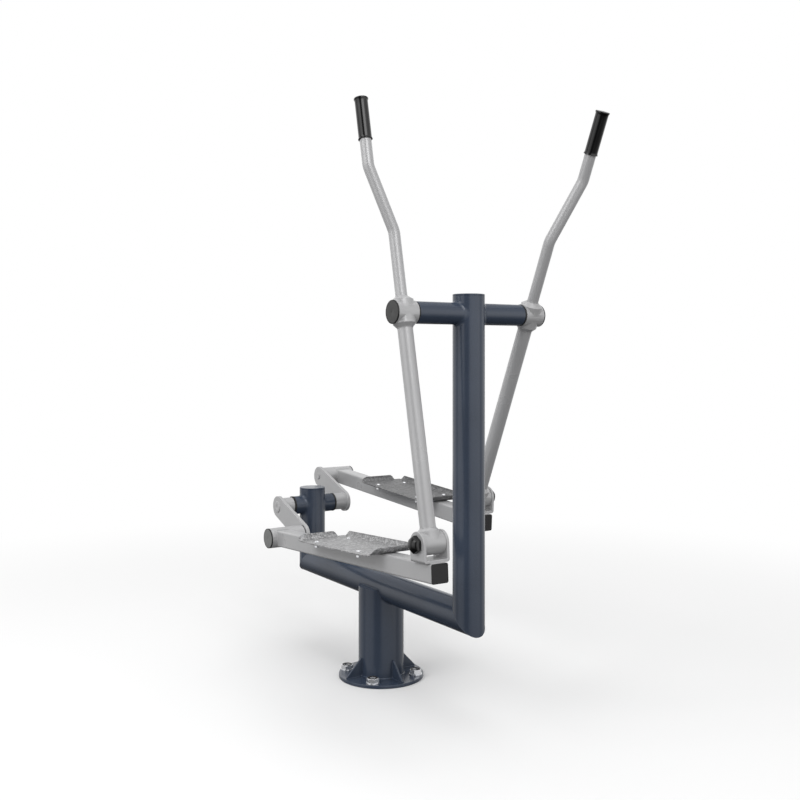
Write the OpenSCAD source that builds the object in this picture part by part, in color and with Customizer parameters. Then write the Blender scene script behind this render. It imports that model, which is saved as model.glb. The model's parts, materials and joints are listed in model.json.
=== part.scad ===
// Outdoor cross trainer: a pedestal frame, a double crank at the rear,
// two swinging arms at the front and two pedal bars that join them.
// +X points forward to the tall post, +Y to the machine's left, +Z up.
// The origin is the centre of the base flange's underside.

/* [Frame] */
// Outer diameter of the beam and of both posts
frame_tube_d = 88.9; // [84:0.1:96]
// Wall of the beam and of both posts
frame_wall = 4; // [3:0.5:6]
// Outer diameter of the base post
base_post_d = 141.3; // [130:0.1:150]
// Wall of the base post
base_post_wall = 5; // [4:0.5:8]
// Distance from the base post to the front post
front_reach = 459; // [440:1:490]
// Distance from the base post to the rear post
rear_reach = 464; // [440:1:490]
// Height of the beam's axis
beam_z = 283; // [240:1:300]
// Height of the arms' axis
arm_axis_z = 1117; // [1080:1:1150]
// Height of the crank's axis
crank_axis_z = 479; // [465:1:500]
// Height of the front post above the arms' axis
front_rise = 54; // [45:1:80]
// Height of the rear post above the crank's axis
rear_rise = 59; // [45:1:80]
// Thickness of the plates that close the posts
post_cap_t = 5; // [3:0.5:8]

/* [Base flange] */
// Diameter of the base flange
flange_d = 265; // [262:1:320]
// Thickness of the base flange
flange_t = 10; // [8:1:16]
// Diameter of the circle of anchor holes
anchor_pcd = 220; // [212:1:222]
// Diameter of an anchor hole
anchor_hole_d = 21; // [20:0.1:23]
// Width of an anchor nut across its flats
anchor_nut_af = 34; // [32:1:36]
// Height of an anchor nut
anchor_nut_h = 13; // [11:1:18]
// Bore of an anchor nut
anchor_nut_bore = 20.2; // [18:0.1:21]
// Diameter of an anchor washer
anchor_washer_d = 40; // [37:1:42]
// Thickness of an anchor washer
anchor_washer_t = 4; // [2:0.5:5]
// Height of a gusset
gusset_h = 55; // [40:1:80]
// Thickness of a gusset
gusset_t = 6; // [4:0.5:10]

/* [Bearings] */
// Outer diameter of a hub bearing
bearing_od = 52; // [49:0.1:53]
// Bore of a hub bearing
bearing_bore = 25; // [20:0.1:28]
// Width of a hub bearing
bearing_w = 15; // [12:0.5:17]
// Outer diameter of a lower pivot bearing
small_bearing_od = 42; // [40:0.1:46]
// Bore of a lower pivot bearing
small_bearing_bore = 20; // [16:0.1:22]
// Width of a lower pivot bearing
small_bearing_w = 12; // [10:0.5:14]

/* [Crank] */
// Throw of the crank
crank_r = 198; // [180:1:205]
// Angle of the right crank above the forward direction
crank_angle = -20.2; // [-60:0.1:0]
// Outer diameter of the crank housing
crank_housing_d = 62; // [60:0.5:66]
// Half the length of the crank housing
crank_housing_half = 75; // [72:0.5:78]
// Outer diameter of a crank hub
crank_hub_d = 57; // [54:0.5:66]
// Length of a crank hub
crank_hub_l = 42; // [38:0.5:42.5]
// Width of a crank plate
crank_plate_w = 72; // [66:1:80]
// Thickness of a crank plate
crank_plate_t = 12; // [8:0.5:12.5]
// Diameter of the plug on the outside of a crank plate
crank_plug_d = 40; // [30:1:46]
// Height of the plug on the outside of a crank plate
crank_plug_t = 2.4; // [1:0.1:3]
// Diameter of a pin bolt's head
pin_bolt_head_d = 20; // [18:1:30]
// Height of a pin bolt's head
pin_bolt_head_h = 4; // [3:0.5:8]
// Diameter of a pin bolt's shank
pin_bolt_d = 14; // [10:0.5:16]

/* [Arms] */
// Distance of the arms, pedal bars and hubs from the middle plane
track = 214; // [213:0.5:218]
// Distance between an arm's upper and lower axes
arm_l = 600; // [585:1:615]
// Outer diameter of an arm's hub
arm_hub_d = 63.5; // [61:0.1:68]
// Length of an arm's hub
arm_hub_l = 63; // [58:0.5:66]
// Outer diameter of the lower arm tube
lower_tube_d = 41.3; // [38:0.1:44]
// Outer diameter of the upper arm tube
upper_tube_d = 31.8; // [28:0.1:36]
// Wall of the arm tubes
arm_wall = 2.6; // [2:0.1:4]
// Height of the collars where the tubes meet the hub
collar_h = 11; // [6:0.5:14]
// Height of the first bend above the arms' axis
first_bend_h = 222; // [200:1:240]
// Height of the second bend above the arms' axis
second_bend_h = 400; // [380:1:420]
// Sideways offset of the grip
grip_offset = 58; // [30:1:80]
// Radius of the bends
bend_r = 60; // [45:1:90]
// Height of the arm tube's top end above the arms' axis
arm_top_h = 589; // [575:1:620]
// Outer diameter of the cross tube
cross_tube_d = 60.3; // [58:0.1:64]
// Wall of the cross tube
cross_tube_wall = 4; // [3:0.5:6]
// Thickness of the hub caps
hub_cap_t = 4; // [3:0.5:6]

/* [Grips] */
// Length of a grip's sleeve below its end cap
grip_l = 114; // [95:1:130]
// Outer diameter of a grip
grip_d = 36; // [34.5:0.5:38]
// Outer diameter of a grip's rims
grip_rim_d = 39.5; // [38:0.5:44]
// Height of a grip's end cap
grip_cap_h = 4; // [3:0.5:8]

/* [Lower pivots] */
// Outer diameter of a lower hub
lower_hub_d = 60; // [57:0.5:64]
// Length of a lower hub
lower_hub_l = 61; // [56:0.5:66]
// Height of the collar where the lower tube meets the lower hub
lower_collar_h = 8; // [4:0.5:9]
// Thickness of a clevis ear
ear_t = 8; // [6:0.5:10]
// Width of a clevis along the bar
clevis_w = 64; // [60:1:72]
// Running gap at each side of a lower hub
clevis_gap = 0.5; // [0.3:0.1:0.8]
// Width of a nut cap across its flats
nut_cap_af = 40; // [34:1:46]
// Height of a nut cap
nut_cap_h = 21; // [20:0.5:26]
// Diameter of a clevis bolt's head
clevis_head_d = 28; // [26:1:38]
// Height of a clevis bolt's head
clevis_head_h = 7; // [4:0.5:9]

/* [Pedal bars] */
// Width of a pedal bar
bar_w = 50; // [46:0.5:54]
// Height of a pedal bar
bar_h = 50; // [46:0.5:52]
// Wall of a pedal bar
bar_wall = 3; // [2:0.5:3.5]
// Corner radius of a pedal bar
bar_corner = 5; // [4:0.5:8]
// Distance from the crank pin to the front end of a pedal bar
bar_front = 905; // [900:1:930]
// Distance along the bar from the crank pin to the lower pivot
pivot_along = 865; // [855:1:868]
// Height of the lower pivot above the bar's axis
pivot_up = 71.5; // [68:0.5:76]
// Outer diameter of a pivot sleeve
sleeve_d = 63.5; // [61:0.1:68]
// Length of a pivot sleeve
sleeve_l = 117.5; // [110:0.5:125]
// Thickness of the sleeve caps
sleeve_cap_t = 4; // [3:0.5:6]
// Thickness of the dust rings between the sleeves and the cranks
dust_ring_t = 2; // [1.2:0.1:3]
// Thickness of a bar's end cap
bar_cap_t = 3; // [2:0.5:5]

/* [Pedals] */
// Length of a pedal plate
pedal_l = 400; // [380:1:420]
// Width of a pedal plate
pedal_w = 160; // [156:1:164]
// Thickness of a pedal plate
pedal_t = 3; // [2:0.5:4]
// Height of a pedal plate's curled edges
curl_r = 19; // [14:1:22]
// Distance from the crank pin to a pedal plate's rear edge
pedal_start = 290; // [280:1:300]
// Sideways shift of a pedal plate past its bar
pedal_shift = 4; // [2:0.5:4.5]
// Length of the curled rear edge
rear_curl_l = 132; // [110:1:134]
// Length of the curled side edge
side_curl_l = 354; // [300:1:354]
// Length of the curled front edge
front_curl_l = 133; // [110:1:136]
// Distance from the plate's curled side to the curled front edge
front_curl_inset = 10; // [8:1:12]
// Distance between the bolts along a pedal plate
bolt_pitch = 241; // [230:1:250]
// Distance between the bolts across a pedal plate
bolt_span = 107; // [104:1:112]
// Diameter of a pedal bolt
pedal_bolt_d = 8; // [6:0.5:10]
// Width of a pedal nut across its flats
pedal_nut_af = 13; // [12.5:0.5:17]
// Thickness of a pedal lug
lug_t = 5; // [4:0.5:6]
// Width of a pedal lug along the bar
lug_w = 36; // [28:1:44]

/* [Hidden] */
$fn = 64;

// Colours of the finishes
navy = "#424a5c";
silver = "#b4b4b4";
zinc = "#c9ccd0";
steel = "#8d9094";
grit = "#8c8a8d";
black = "#202022";
charcoal = "#4a4a4a";

// Clearances
weld_clearance = 0.05;
seat_clearance = 0.02;
running_clearance = 0.03;
running_gap = 0.3;
hole_play = 0.5;
overrun = 1;

// The side of each half: the right one lies at -Y
right = -1;
left = 1;

// Frame
post_r = frame_tube_d / 2;
base_r = base_post_d / 2;
mitre_block = 3 * frame_tube_d;
front_top = arm_axis_z + front_rise - post_cap_t;
rear_top = crank_axis_z + rear_rise - post_cap_t;
post_lid_t = base_post_wall;

// Base flange: four gussets, with the anchor holes between them
anchor_count = 4;
anchor_step = 360 / anchor_count;
gusset_edge = 8;
gusset_lip = 4;
gusset_top_w = 4;

// Seal rings
crank_seal_t = 6;
arm_seal_t = 4.5;
seal_bore = bearing_bore + 2 * running_gap;
seal_lip = 0.5;
seal_d = cross_tube_d + 2 * seal_lip;
crank_seal_d = crank_housing_d + 2 * seal_lip;

// Bearing sections, as shares of the space between bore and outside
ring_share = 0.25;
ball_share = 0.6;
ball_pitch_share = 1.35;
ball_play = 0.1;

// Crank: distances from the middle plane
crank_hub_in = crank_housing_half + crank_seal_t + running_gap;
crank_plate_in = crank_hub_in + crank_hub_l;
crank_plate_out = crank_plate_in + crank_plate_t;
crank_end_r = crank_plate_w / 2;

// Arms: distances from the middle plane
arm_hub_in = track - arm_hub_l / 2;
arm_hub_out = track + arm_hub_l / 2;
cross_tube_half = arm_hub_in - running_gap - arm_seal_t;
cross_wall_t = 10;
axle_collar_t = 2;
axle_collar_w = 4;
axle_collar_d = bearing_bore + 2 * axle_collar_w;
hub_lip = 1;
axle_half = arm_hub_out - hub_lip;
collar_inset = 1;
lean = atan2(grip_offset, second_bend_h - first_bend_h);
bend_tangent = bend_r * tan(lean / 2);
slope_l = norm([grip_offset, second_bend_h - first_bend_h]) - 2 * bend_tangent;
bend_step = 0.15;
bend_lap = 1;
lap_angle = bend_lap / bend_r * 180 / PI;
grip_clearance = 0.1;
grip_rim_h = 5;
grip_flare_h = 3;
grip_round = 1;
grip_dome_h = 1;
grip_bottom = arm_top_h - grip_l;

// Pedal bars: distances from the middle plane
dust_ring_in = crank_plate_out + running_gap;
sleeve_in = dust_ring_in + dust_ring_t;
sleeve_out = sleeve_in + sleeve_l;
cap_spigot_l = 6;
spindle_collar_t = 3;

// Lower pivots
clevis_half = lower_hub_l / 2 + clevis_gap + ear_t;
ear_r = clevis_w / 2;
coupler_l = norm([pivot_along, pivot_up]);
clevis_bolt_end = 5;
nut_dome_share = 0.6;

// Pedals: the bolts stand evenly about the plate's middle
pedal_mid = pedal_start + pedal_l / 2;
pedal_y = track + pedal_shift;
pedal_bolt_skew = 6;
first_bolt = pedal_mid - bolt_pitch / 2 - pedal_bolt_skew;
curl_cut = 12;
curl_long_cut = 20;
curl_lip = 4;
cut_turn_share = 0.38;
cut_rise_share = 0.72;
sheet_corner = 12;
corner_relief = 3;
lug_end = 13;

// Pedal bolts, as shares of their diameter
head_d_share = 1.7;
head_h_share = 0.45;
nut_h_share = 0.8;
tail_share = 0.3;
pedal_head_d = head_d_share * pedal_bolt_d;
pedal_head_h = head_h_share * pedal_bolt_d;
pedal_nut_h = nut_h_share * pedal_bolt_d;
bolt_tail = tail_share * pedal_bolt_d;

// Linkage, as points [x, z] in the machine's frame
function crank_pin(side) = [
    -rear_reach - side * crank_r * cos(crank_angle),
    crank_axis_z - side * crank_r * sin(crank_angle)
];
arm_axis = [front_reach, arm_axis_z];
function reach(side) = norm(arm_axis - crank_pin(side));
function bearing_to_axis(side) = atan2(
    arm_axis[1] - crank_pin(side)[1],
    arm_axis[0] - crank_pin(side)[0]
);
function inner_angle(side) = acos(
    (coupler_l * coupler_l + reach(side) * reach(side) - arm_l * arm_l)
    / (2 * coupler_l * reach(side))
);
function coupler_angle(side) = bearing_to_axis(side) - inner_angle(side);
function bar_angle(side) = coupler_angle(side) - atan2(pivot_up, pivot_along);
function lower_pivot(side) = crank_pin(side)
    + coupler_l * [cos(coupler_angle(side)), sin(coupler_angle(side))];
function arm_angle(side) = atan2(
    arm_axis[0] - lower_pivot(side)[0],
    arm_axis[1] - lower_pivot(side)[1]
);

// A cylinder along Y, from y0 to y1
module y_rod(y0, y1, d) {
    translate([0, y0, 0])
        rotate([-90, 0, 0])
            cylinder(d = d, h = y1 - y0);
}

// A tube along Y, from y0 to y1
module y_tube(y0, y1, d, bore) {
    difference() {
        y_rod(y0, y1, d);
        y_rod(y0 - overrun, y1 + overrun, bore);
    }
}

// A disc along Y that narrows to its outer end
module y_disc(y0, y1, d, edge) {
    y_rod(y0, y1 - edge, d);
    translate([0, y1 - edge, 0])
        rotate([-90, 0, 0])
            cylinder(d1 = d, d2 = d - 2 * edge, h = edge);
}

// Shapes drawn for the left side, mirrored for the right one
module on_side(side) {
    if (side < 0) {
        mirror([0, 1, 0])
            children();
    } else {
        children();
    }
}

// The crank turns about its own axis; X runs towards this side's crank pin
module place_crank(side) {
    translate([-rear_reach, 0, crank_axis_z])
        rotate([0, -crank_angle + (side > 0 ? 180 : 0), 0])
            on_side(side)
                children();
}

// Arm frame: origin on the arms' axis, Z up along the arm
module place_arm(side) {
    translate([front_reach, 0, arm_axis_z])
        rotate([0, arm_angle(side), 0])
            on_side(side)
                children();
}

// Bar frame: origin on the crank pin, X forward along the bar; not mirrored
module place_bar(side) {
    translate([crank_pin(side)[0], 0, crank_pin(side)[1]])
        rotate([0, -bar_angle(side), 0])
            children();
}

// A deep groove ball bearing along Y that starts at y0
module ball_bearing(y0, od, id, w) {
    section = (od - id) / 2;
    ring = ring_share * section;
    ball = ball_share * section;
    pitch_r = (od + id) / 4;
    balls = floor(2 * PI * pitch_r / (ball_pitch_share * ball));
    difference() {
        union() {
            y_tube(y0, y0 + w, od, od - 2 * ring);
            y_tube(y0, y0 + w, id + 2 * ring, id);
        }
        translate([0, y0 + w / 2, 0])
            rotate([-90, 0, 0])
                rotate_extrude()
                    translate([pitch_r, 0])
                        circle(d = ball + 2 * ball_play);
    }
    for (i = [0 : balls - 1]) {
        translate([0, y0 + w / 2, 0])
            rotate([0, i * 360 / balls, 0])
                translate([pitch_r, 0, 0])
                    sphere(d = ball);
    }
}

// A bar along X with rounded long edges
module rounded_bar(x0, x1, w, h, r) {
    translate([x0, -w / 2, -h / 2 + r])
        cube([x1 - x0, w, h - 2 * r]);
    translate([x0, -w / 2 + r, -h / 2])
        cube([x1 - x0, w - 2 * r, h]);
    for (y = [-1, 1], z = [-1, 1]) {
        translate([x0, y * (w / 2 - r), z * (h / 2 - r)])
            rotate([0, 90, 0])
                cylinder(r = r, h = x1 - x0);
    }
}

// The half space above a mitre plane through a lower corner of the frame
module mitre_above(x, tilt) {
    translate([x, 0, beam_z])
        rotate([0, tilt, 0])
            translate([-mitre_block / 2, -mitre_block / 2, 0])
                cube(mitre_block);
}

module mitre_below(x, tilt) {
    translate([x, 0, beam_z])
        rotate([0, tilt, 0])
            translate([-mitre_block / 2, -mitre_block / 2, -mitre_block])
                cube(mitre_block);
}

// A square-cut post over a mitred foot
module post(x, top, tilt, hole_z, hole_d) {
    difference() {
        translate([x, 0, beam_z - post_r])
            cylinder(d = frame_tube_d, h = top - beam_z + post_r);
        translate([x, 0, beam_z - frame_tube_d])
            cylinder(d = frame_tube_d - 2 * frame_wall, h = top - beam_z + 2 * frame_tube_d);
        mitre_below(x, tilt);
        translate([x, 0, hole_z])
            y_rod(-frame_tube_d, frame_tube_d, hole_d + 2 * weld_clearance);
    }
}

module base_flange() {
    color(navy)
        difference() {
            cylinder(d = flange_d, h = flange_t);
            for (i = [0 : anchor_count - 1]) {
                rotate([0, 0, (i + 0.5) * anchor_step])
                    translate([anchor_pcd / 2, 0, -overrun])
                        cylinder(d = anchor_hole_d, h = flange_t + 2 * overrun);
            }
        }
}

module base_gussets() {
    gusset_in = base_r - gusset_t;
    gusset_out = flange_d / 2 - gusset_edge;
    color(navy)
        difference() {
            for (i = [0 : anchor_count - 1]) {
                rotate([0, 0, i * anchor_step])
                    translate([0, gusset_t / 2, flange_t])
                        rotate([90, 0, 0])
                            linear_extrude(gusset_t)
                                polygon([
                                    [gusset_in, 0],
                                    [gusset_out, 0],
                                    [gusset_out, gusset_lip],
                                    [base_r + gusset_top_w, gusset_h],
                                    [gusset_in, gusset_h]
                                ]);
            }
            cylinder(r = base_r + weld_clearance, h = flange_t + gusset_h + overrun);
        }
}

// The base post ends at the beam's axis, closed by a lid round the beam
module base_post() {
    color(navy)
        difference() {
            translate([0, 0, flange_t])
                cylinder(d = base_post_d, h = beam_z - flange_t);
            translate([0, 0, -overrun])
                cylinder(d = base_post_d - 2 * base_post_wall, h = beam_z - post_lid_t + overrun);
            translate([-base_post_d, 0, beam_z])
                rotate([0, 90, 0])
                    cylinder(d = frame_tube_d + 2 * weld_clearance, h = 2 * base_post_d);
        }
}

module main_beam() {
    beam_start = -rear_reach - post_r;
    beam_l = front_reach + rear_reach + frame_tube_d;
    color(navy)
        difference() {
            translate([beam_start, 0, beam_z])
                rotate([0, 90, 0])
                    cylinder(d = frame_tube_d, h = beam_l);
            translate([beam_start - overrun, 0, beam_z])
                rotate([0, 90, 0])
                    cylinder(d = frame_tube_d - 2 * frame_wall, h = beam_l + 2 * overrun);
            mitre_above(-rear_reach, -45);
            mitre_above(front_reach, 45);
        }
}

module rear_post() {
    color(navy)
        post(-rear_reach, rear_top, -45, crank_axis_z, crank_housing_d);
}

module front_post() {
    color(navy)
        post(front_reach, front_top, 45, arm_axis_z, cross_tube_d);
}

module post_caps() {
    color(navy) {
        translate([-rear_reach, 0, rear_top])
            cylinder(d = frame_tube_d, h = post_cap_t);
        translate([front_reach, 0, front_top])
            cylinder(d = frame_tube_d, h = post_cap_t);
    }
}

// The cross tube's end walls carry the arms' axle
module cross_tube() {
    color(navy)
        translate([front_reach, 0, arm_axis_z])
            difference() {
                y_rod(-cross_tube_half, cross_tube_half, cross_tube_d);
                y_rod(
                    -cross_tube_half + cross_wall_t,
                    cross_tube_half - cross_wall_t,
                    cross_tube_d - 2 * cross_tube_wall
                );
                y_rod(-track, track, bearing_bore + 2 * seat_clearance);
            }
}

// The crank housing is bored from both ends for its bearings
module crank_housing() {
    seat_l = bearing_w + overrun;
    color(navy)
        translate([-rear_reach, 0, crank_axis_z])
            difference() {
                y_rod(-crank_housing_half, crank_housing_half, crank_housing_d);
                y_rod(-track, track, bearing_od - 2 * cross_tube_wall);
                for (side = [right, left]) {
                    on_side(side)
                        y_rod(crank_housing_half - seat_l, track, bearing_od + 2 * seat_clearance);
                }
            }
}

module arm_axle() {
    color(steel)
        translate([front_reach, 0, arm_axis_z]) {
            y_rod(-axle_half, axle_half, bearing_bore);
            for (side = [right, left]) {
                on_side(side)
                    y_tube(
                        axle_half - hub_lip - axle_collar_t,
                        axle_half - hub_lip,
                        axle_collar_d,
                        bearing_bore + 2 * seat_clearance
                    );
            }
        }
}

module anchor_nuts() {
    nut_z = flange_t + anchor_washer_t;
    color(zinc)
        for (i = [0 : anchor_count - 1]) {
            rotate([0, 0, (i + 0.5) * anchor_step])
                translate([anchor_pcd / 2, 0, nut_z])
                    difference() {
                        cylinder(d = anchor_nut_af / cos(30), h = anchor_nut_h, $fn = 6);
                        translate([0, 0, -overrun])
                            cylinder(d = anchor_nut_bore, h = anchor_nut_h + 2 * overrun);
                    }
        }
}

module anchor_washers() {
    color(zinc)
        for (i = [0 : anchor_count - 1]) {
            rotate([0, 0, (i + 0.5) * anchor_step])
                translate([anchor_pcd / 2, 0, flange_t])
                    difference() {
                        cylinder(d = anchor_washer_d, h = anchor_washer_t);
                        translate([0, 0, -overrun])
                            cylinder(d = anchor_hole_d, h = anchor_washer_t + 2 * overrun);
                    }
        }
}

module crank_bearings() {
    color(steel)
        translate([-rear_reach, 0, crank_axis_z])
            for (side = [right, left]) {
                on_side(side)
                    ball_bearing(crank_housing_half - bearing_w, bearing_od, bearing_bore, bearing_w);
            }
}

// Rubber rings at the ends of the housing and of the cross tube
module seal_rings() {
    color(black)
        for (side = [right, left]) {
            on_side(side) {
                translate([-rear_reach, 0, crank_axis_z])
                    y_tube(crank_housing_half, crank_housing_half + crank_seal_t, crank_seal_d, seal_bore);
                translate([front_reach, 0, arm_axis_z])
                    y_tube(cross_tube_half, cross_tube_half + arm_seal_t, seal_d, seal_bore);
            }
        }
}

module crank_spindle() {
    color(steel)
        translate([-rear_reach, 0, crank_axis_z])
            y_rod(-crank_plate_out, crank_plate_out, bearing_bore - 2 * running_clearance);
}

module crank_hub(side) {
    color(silver)
        place_crank(side)
            y_tube(crank_hub_in, crank_plate_in, crank_hub_d, bearing_bore);
}

// A flat bar with round ends, from the spindle to the crank pin
module crank_plate(side) {
    color(silver)
        place_crank(side)
            difference() {
                union() {
                    y_rod(crank_plate_in, crank_plate_out, crank_plate_w);
                    translate([crank_r, 0, 0])
                        y_rod(crank_plate_in, crank_plate_out, crank_plate_w);
                    translate([0, crank_plate_in, -crank_end_r])
                        cube([crank_r, crank_plate_t, crank_plate_w]);
                }
                y_rod(crank_plate_in - overrun, crank_plate_out + overrun, bearing_bore);
                translate([crank_r, 0, 0])
                    y_rod(crank_plate_in - overrun, crank_plate_out + overrun, pin_bolt_d);
            }
}

module crank_plugs() {
    color(silver)
        for (side = [right, left]) {
            place_crank(side)
                y_disc(
                    crank_plate_out,
                    crank_plate_out + crank_plug_t,
                    crank_plug_d,
                    crank_plug_t / 2
                );
        }
}

// Bolts that hold the pedal spindles: the heads lie inside the crank plates
module pin_bolts() {
    color(zinc)
        for (side = [right, left]) {
            place_crank(side)
                translate([crank_r, 0, 0]) {
                    y_rod(crank_plate_in, crank_plate_out, pin_bolt_d - 2 * seat_clearance);
                    translate([0, crank_plate_in - pin_bolt_head_h, 0])
                        rotate([-90, 0, 0])
                            cylinder(d = pin_bolt_head_d, h = pin_bolt_head_h, $fn = 6);
                }
        }
}

// A hub with conical sockets for the tubes above and below it
module arm_hub(side) {
    upper_r = upper_tube_d / 2;
    lower_r = lower_tube_d / 2;
    hub_r = arm_hub_d / 2;
    color(silver)
        place_arm(side)
            translate([0, track, 0])
                difference() {
                    union() {
                        y_rod(-arm_hub_l / 2, arm_hub_l / 2, arm_hub_d);
                        collar(hub_r, upper_r, collar_h);
                        rotate([180, 0, 0])
                            collar(hub_r, lower_r, collar_h);
                    }
                    y_rod(-arm_hub_l, arm_hub_l, bearing_od + 2 * seat_clearance);
                    socket(hub_r, upper_r, collar_h);
                    rotate([180, 0, 0])
                        socket(hub_r, lower_r, collar_h);
                }
}

// A collar that rises from a hub along Z and narrows to its tube
module collar(hub_r, tube_r, h) {
    foot_r = hub_r - collar_inset;
    cylinder(r = foot_r, h = hub_r);
    translate([0, 0, hub_r])
        cylinder(r1 = foot_r, r2 = tube_r, h = h);
}

// The room that a saddled tube takes in a collar, down to the hub's surface
module socket(hub_r, tube_r, h) {
    difference() {
        cylinder(r = tube_r + weld_clearance, h = hub_r + h + overrun);
        y_rod(-2 * hub_r, 2 * hub_r, 2 * hub_r);
    }
}

// From the arm's hub down to the lower hub
module lower_tube(side) {
    color(silver)
        place_arm(side)
            translate([0, track, 0])
                difference() {
                    translate([0, 0, -arm_l])
                        cylinder(d = lower_tube_d, h = arm_l - arm_hub_d / 2);
                    translate([0, 0, -arm_l - overrun])
                        cylinder(d = lower_tube_d - 2 * arm_wall, h = arm_l);
                    y_rod(-lower_tube_d, lower_tube_d, arm_hub_d + 2 * weld_clearance);
                    translate([0, 0, -arm_l])
                        y_rod(-lower_tube_d, lower_tube_d, lower_hub_d + 2 * weld_clearance);
                }
}

// A straight run of the upper arm's tube
module straight_run(l) {
    difference() {
        cylinder(d = upper_tube_d, h = l);
        translate([0, 0, -overrun])
            cylinder(d = upper_tube_d - 2 * arm_wall, h = l + 2 * overrun);
    }
}

// A bend of the upper arm's tube, about Z, from the X axis; its ends lie inside the runs
module bend() {
    rotate([0, 0, -lap_angle])
        difference() {
            rotate_extrude(angle = lean + 2 * lap_angle)
                translate([bend_r, 0])
                    circle(d = upper_tube_d - 2 * bend_step);
            rotate([0, 0, -lap_angle])
                rotate_extrude(angle = lean + 4 * lap_angle)
                    translate([bend_r, 0])
                        circle(d = upper_tube_d - 2 * arm_wall + 2 * bend_step);
        }
}

module upper_tube(side) {
    color(silver)
        place_arm(side)
            translate([0, track, 0]) {
                difference() {
                    straight_run(first_bend_h - bend_tangent);
                    y_rod(-upper_tube_d, upper_tube_d, arm_hub_d + 2 * weld_clearance);
                }
                translate([0, bend_r, first_bend_h - bend_tangent])
                    rotate([90, 0, -90])
                        bend();
                translate([
                    0,
                    bend_r * (1 - cos(lean)),
                    first_bend_h - bend_tangent + bend_r * sin(lean)
                ])
                    rotate([-lean, 0, 0])
                        straight_run(slope_l);
                translate([0, grip_offset - bend_r, second_bend_h + bend_tangent])
                    rotate([90, 0, 90])
                        rotate([0, 0, -lean])
                            bend();
                translate([0, grip_offset, second_bend_h + bend_tangent])
                    straight_run(arm_top_h - second_bend_h - bend_tangent);
            }
}

// A grip that flares out at both ends, with a slightly crowned end cap
module grip(side) {
    crown_d = grip_rim_d - 2 * grip_round;
    dome_r = (crown_d * crown_d / 4 + grip_dome_h * grip_dome_h) / (2 * grip_dome_h);
    cap_top = arm_top_h + grip_cap_h;
    color(black)
        place_arm(side)
            translate([0, track + grip_offset, 0])
                difference() {
                    union() {
                        translate([0, 0, grip_bottom])
                            cylinder(d1 = grip_rim_d, d2 = grip_d, h = grip_rim_h);
                        translate([0, 0, grip_bottom + grip_rim_h])
                            cylinder(d = grip_d, h = grip_l - grip_rim_h - grip_flare_h);
                        translate([0, 0, arm_top_h - grip_flare_h])
                            cylinder(d1 = grip_d, d2 = grip_rim_d, h = grip_flare_h);
                        translate([0, 0, arm_top_h])
                            cylinder(d = grip_rim_d, h = grip_cap_h - grip_round);
                        translate([0, 0, cap_top - grip_round])
                            cylinder(d1 = grip_rim_d, d2 = crown_d, h = grip_round);
                        intersection() {
                            translate([0, 0, cap_top])
                                cylinder(d = crown_d, h = 2 * grip_dome_h);
                            translate([0, 0, cap_top + grip_dome_h - dome_r])
                                sphere(r = dome_r);
                        }
                    }
                    translate([0, 0, grip_bottom - overrun])
                        cylinder(d = upper_tube_d + 2 * grip_clearance, h = arm_top_h + grip_clearance
                            - grip_bottom + overrun);
                }
}

module hub_cap(side) {
    color(charcoal)
        place_arm(side) {
            y_disc(arm_hub_out, arm_hub_out + hub_cap_t, arm_hub_d, hub_lip);
            y_tube(
                arm_hub_out - hub_lip / 2,
                arm_hub_out,
                bearing_od,
                bearing_od - 2 * hub_cap_t
            );
        }
}

// Two bearings in the upper hub and two in the lower one
module arm_bearings(side) {
    small_in = track - lower_hub_l / 2;
    small_out = track + lower_hub_l / 2 - small_bearing_w;
    wide_out = axle_half - hub_lip - axle_collar_t - running_gap - bearing_w;
    color(steel)
        place_arm(side) {
            ball_bearing(arm_hub_in, bearing_od, bearing_bore + 2 * running_clearance, bearing_w);
            ball_bearing(wide_out, bearing_od, bearing_bore + 2 * running_clearance, bearing_w);
            translate([0, 0, -arm_l]) {
                ball_bearing(small_in, small_bearing_od, small_bearing_bore, small_bearing_w);
                ball_bearing(small_out, small_bearing_od, small_bearing_bore, small_bearing_w);
            }
        }
}

module lower_hub(side) {
    tube_r = lower_tube_d / 2;
    hub_r = lower_hub_d / 2;
    color(silver)
        place_arm(side)
            translate([0, track, -arm_l])
                difference() {
                    union() {
                        y_rod(-lower_hub_l / 2, lower_hub_l / 2, lower_hub_d);
                        collar(hub_r, tube_r, lower_collar_h);
                    }
                    y_rod(-lower_hub_l, lower_hub_l, small_bearing_od + 2 * seat_clearance);
                    socket(hub_r, tube_r, lower_collar_h);
                }
}

// A square tube, saddled to its sleeve
module pedal_bar(side) {
    color(silver)
        place_bar(side)
            difference() {
                translate([0, side * track, 0])
                    difference() {
                        rounded_bar(0, bar_front, bar_w, bar_h, bar_corner);
                        rounded_bar(
                            -overrun,
                            bar_front + overrun,
                            bar_w - 2 * bar_wall,
                            bar_h - 2 * bar_wall,
                            bar_corner - bar_wall
                        );
                    }
                y_rod(-2 * track, 2 * track, sleeve_d + 2 * weld_clearance);
            }
}

module bar_cap(side) {
    insert = bar_wall + grip_clearance;
    color(black)
        place_bar(side)
            translate([0, side * track, 0]) {
                rounded_bar(bar_front, bar_front + bar_cap_t, bar_w, bar_h, bar_corner);
                rounded_bar(
                    bar_front - 4 * bar_cap_t,
                    bar_front,
                    bar_w - 2 * insert,
                    bar_h - 2 * insert,
                    bar_corner - bar_wall
                );
            }
}

module pivot_sleeve(side) {
    color(silver)
        place_bar(side)
            on_side(side)
                y_tube(sleeve_in, sleeve_out, sleeve_d, bearing_od + 2 * seat_clearance);
}

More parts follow.
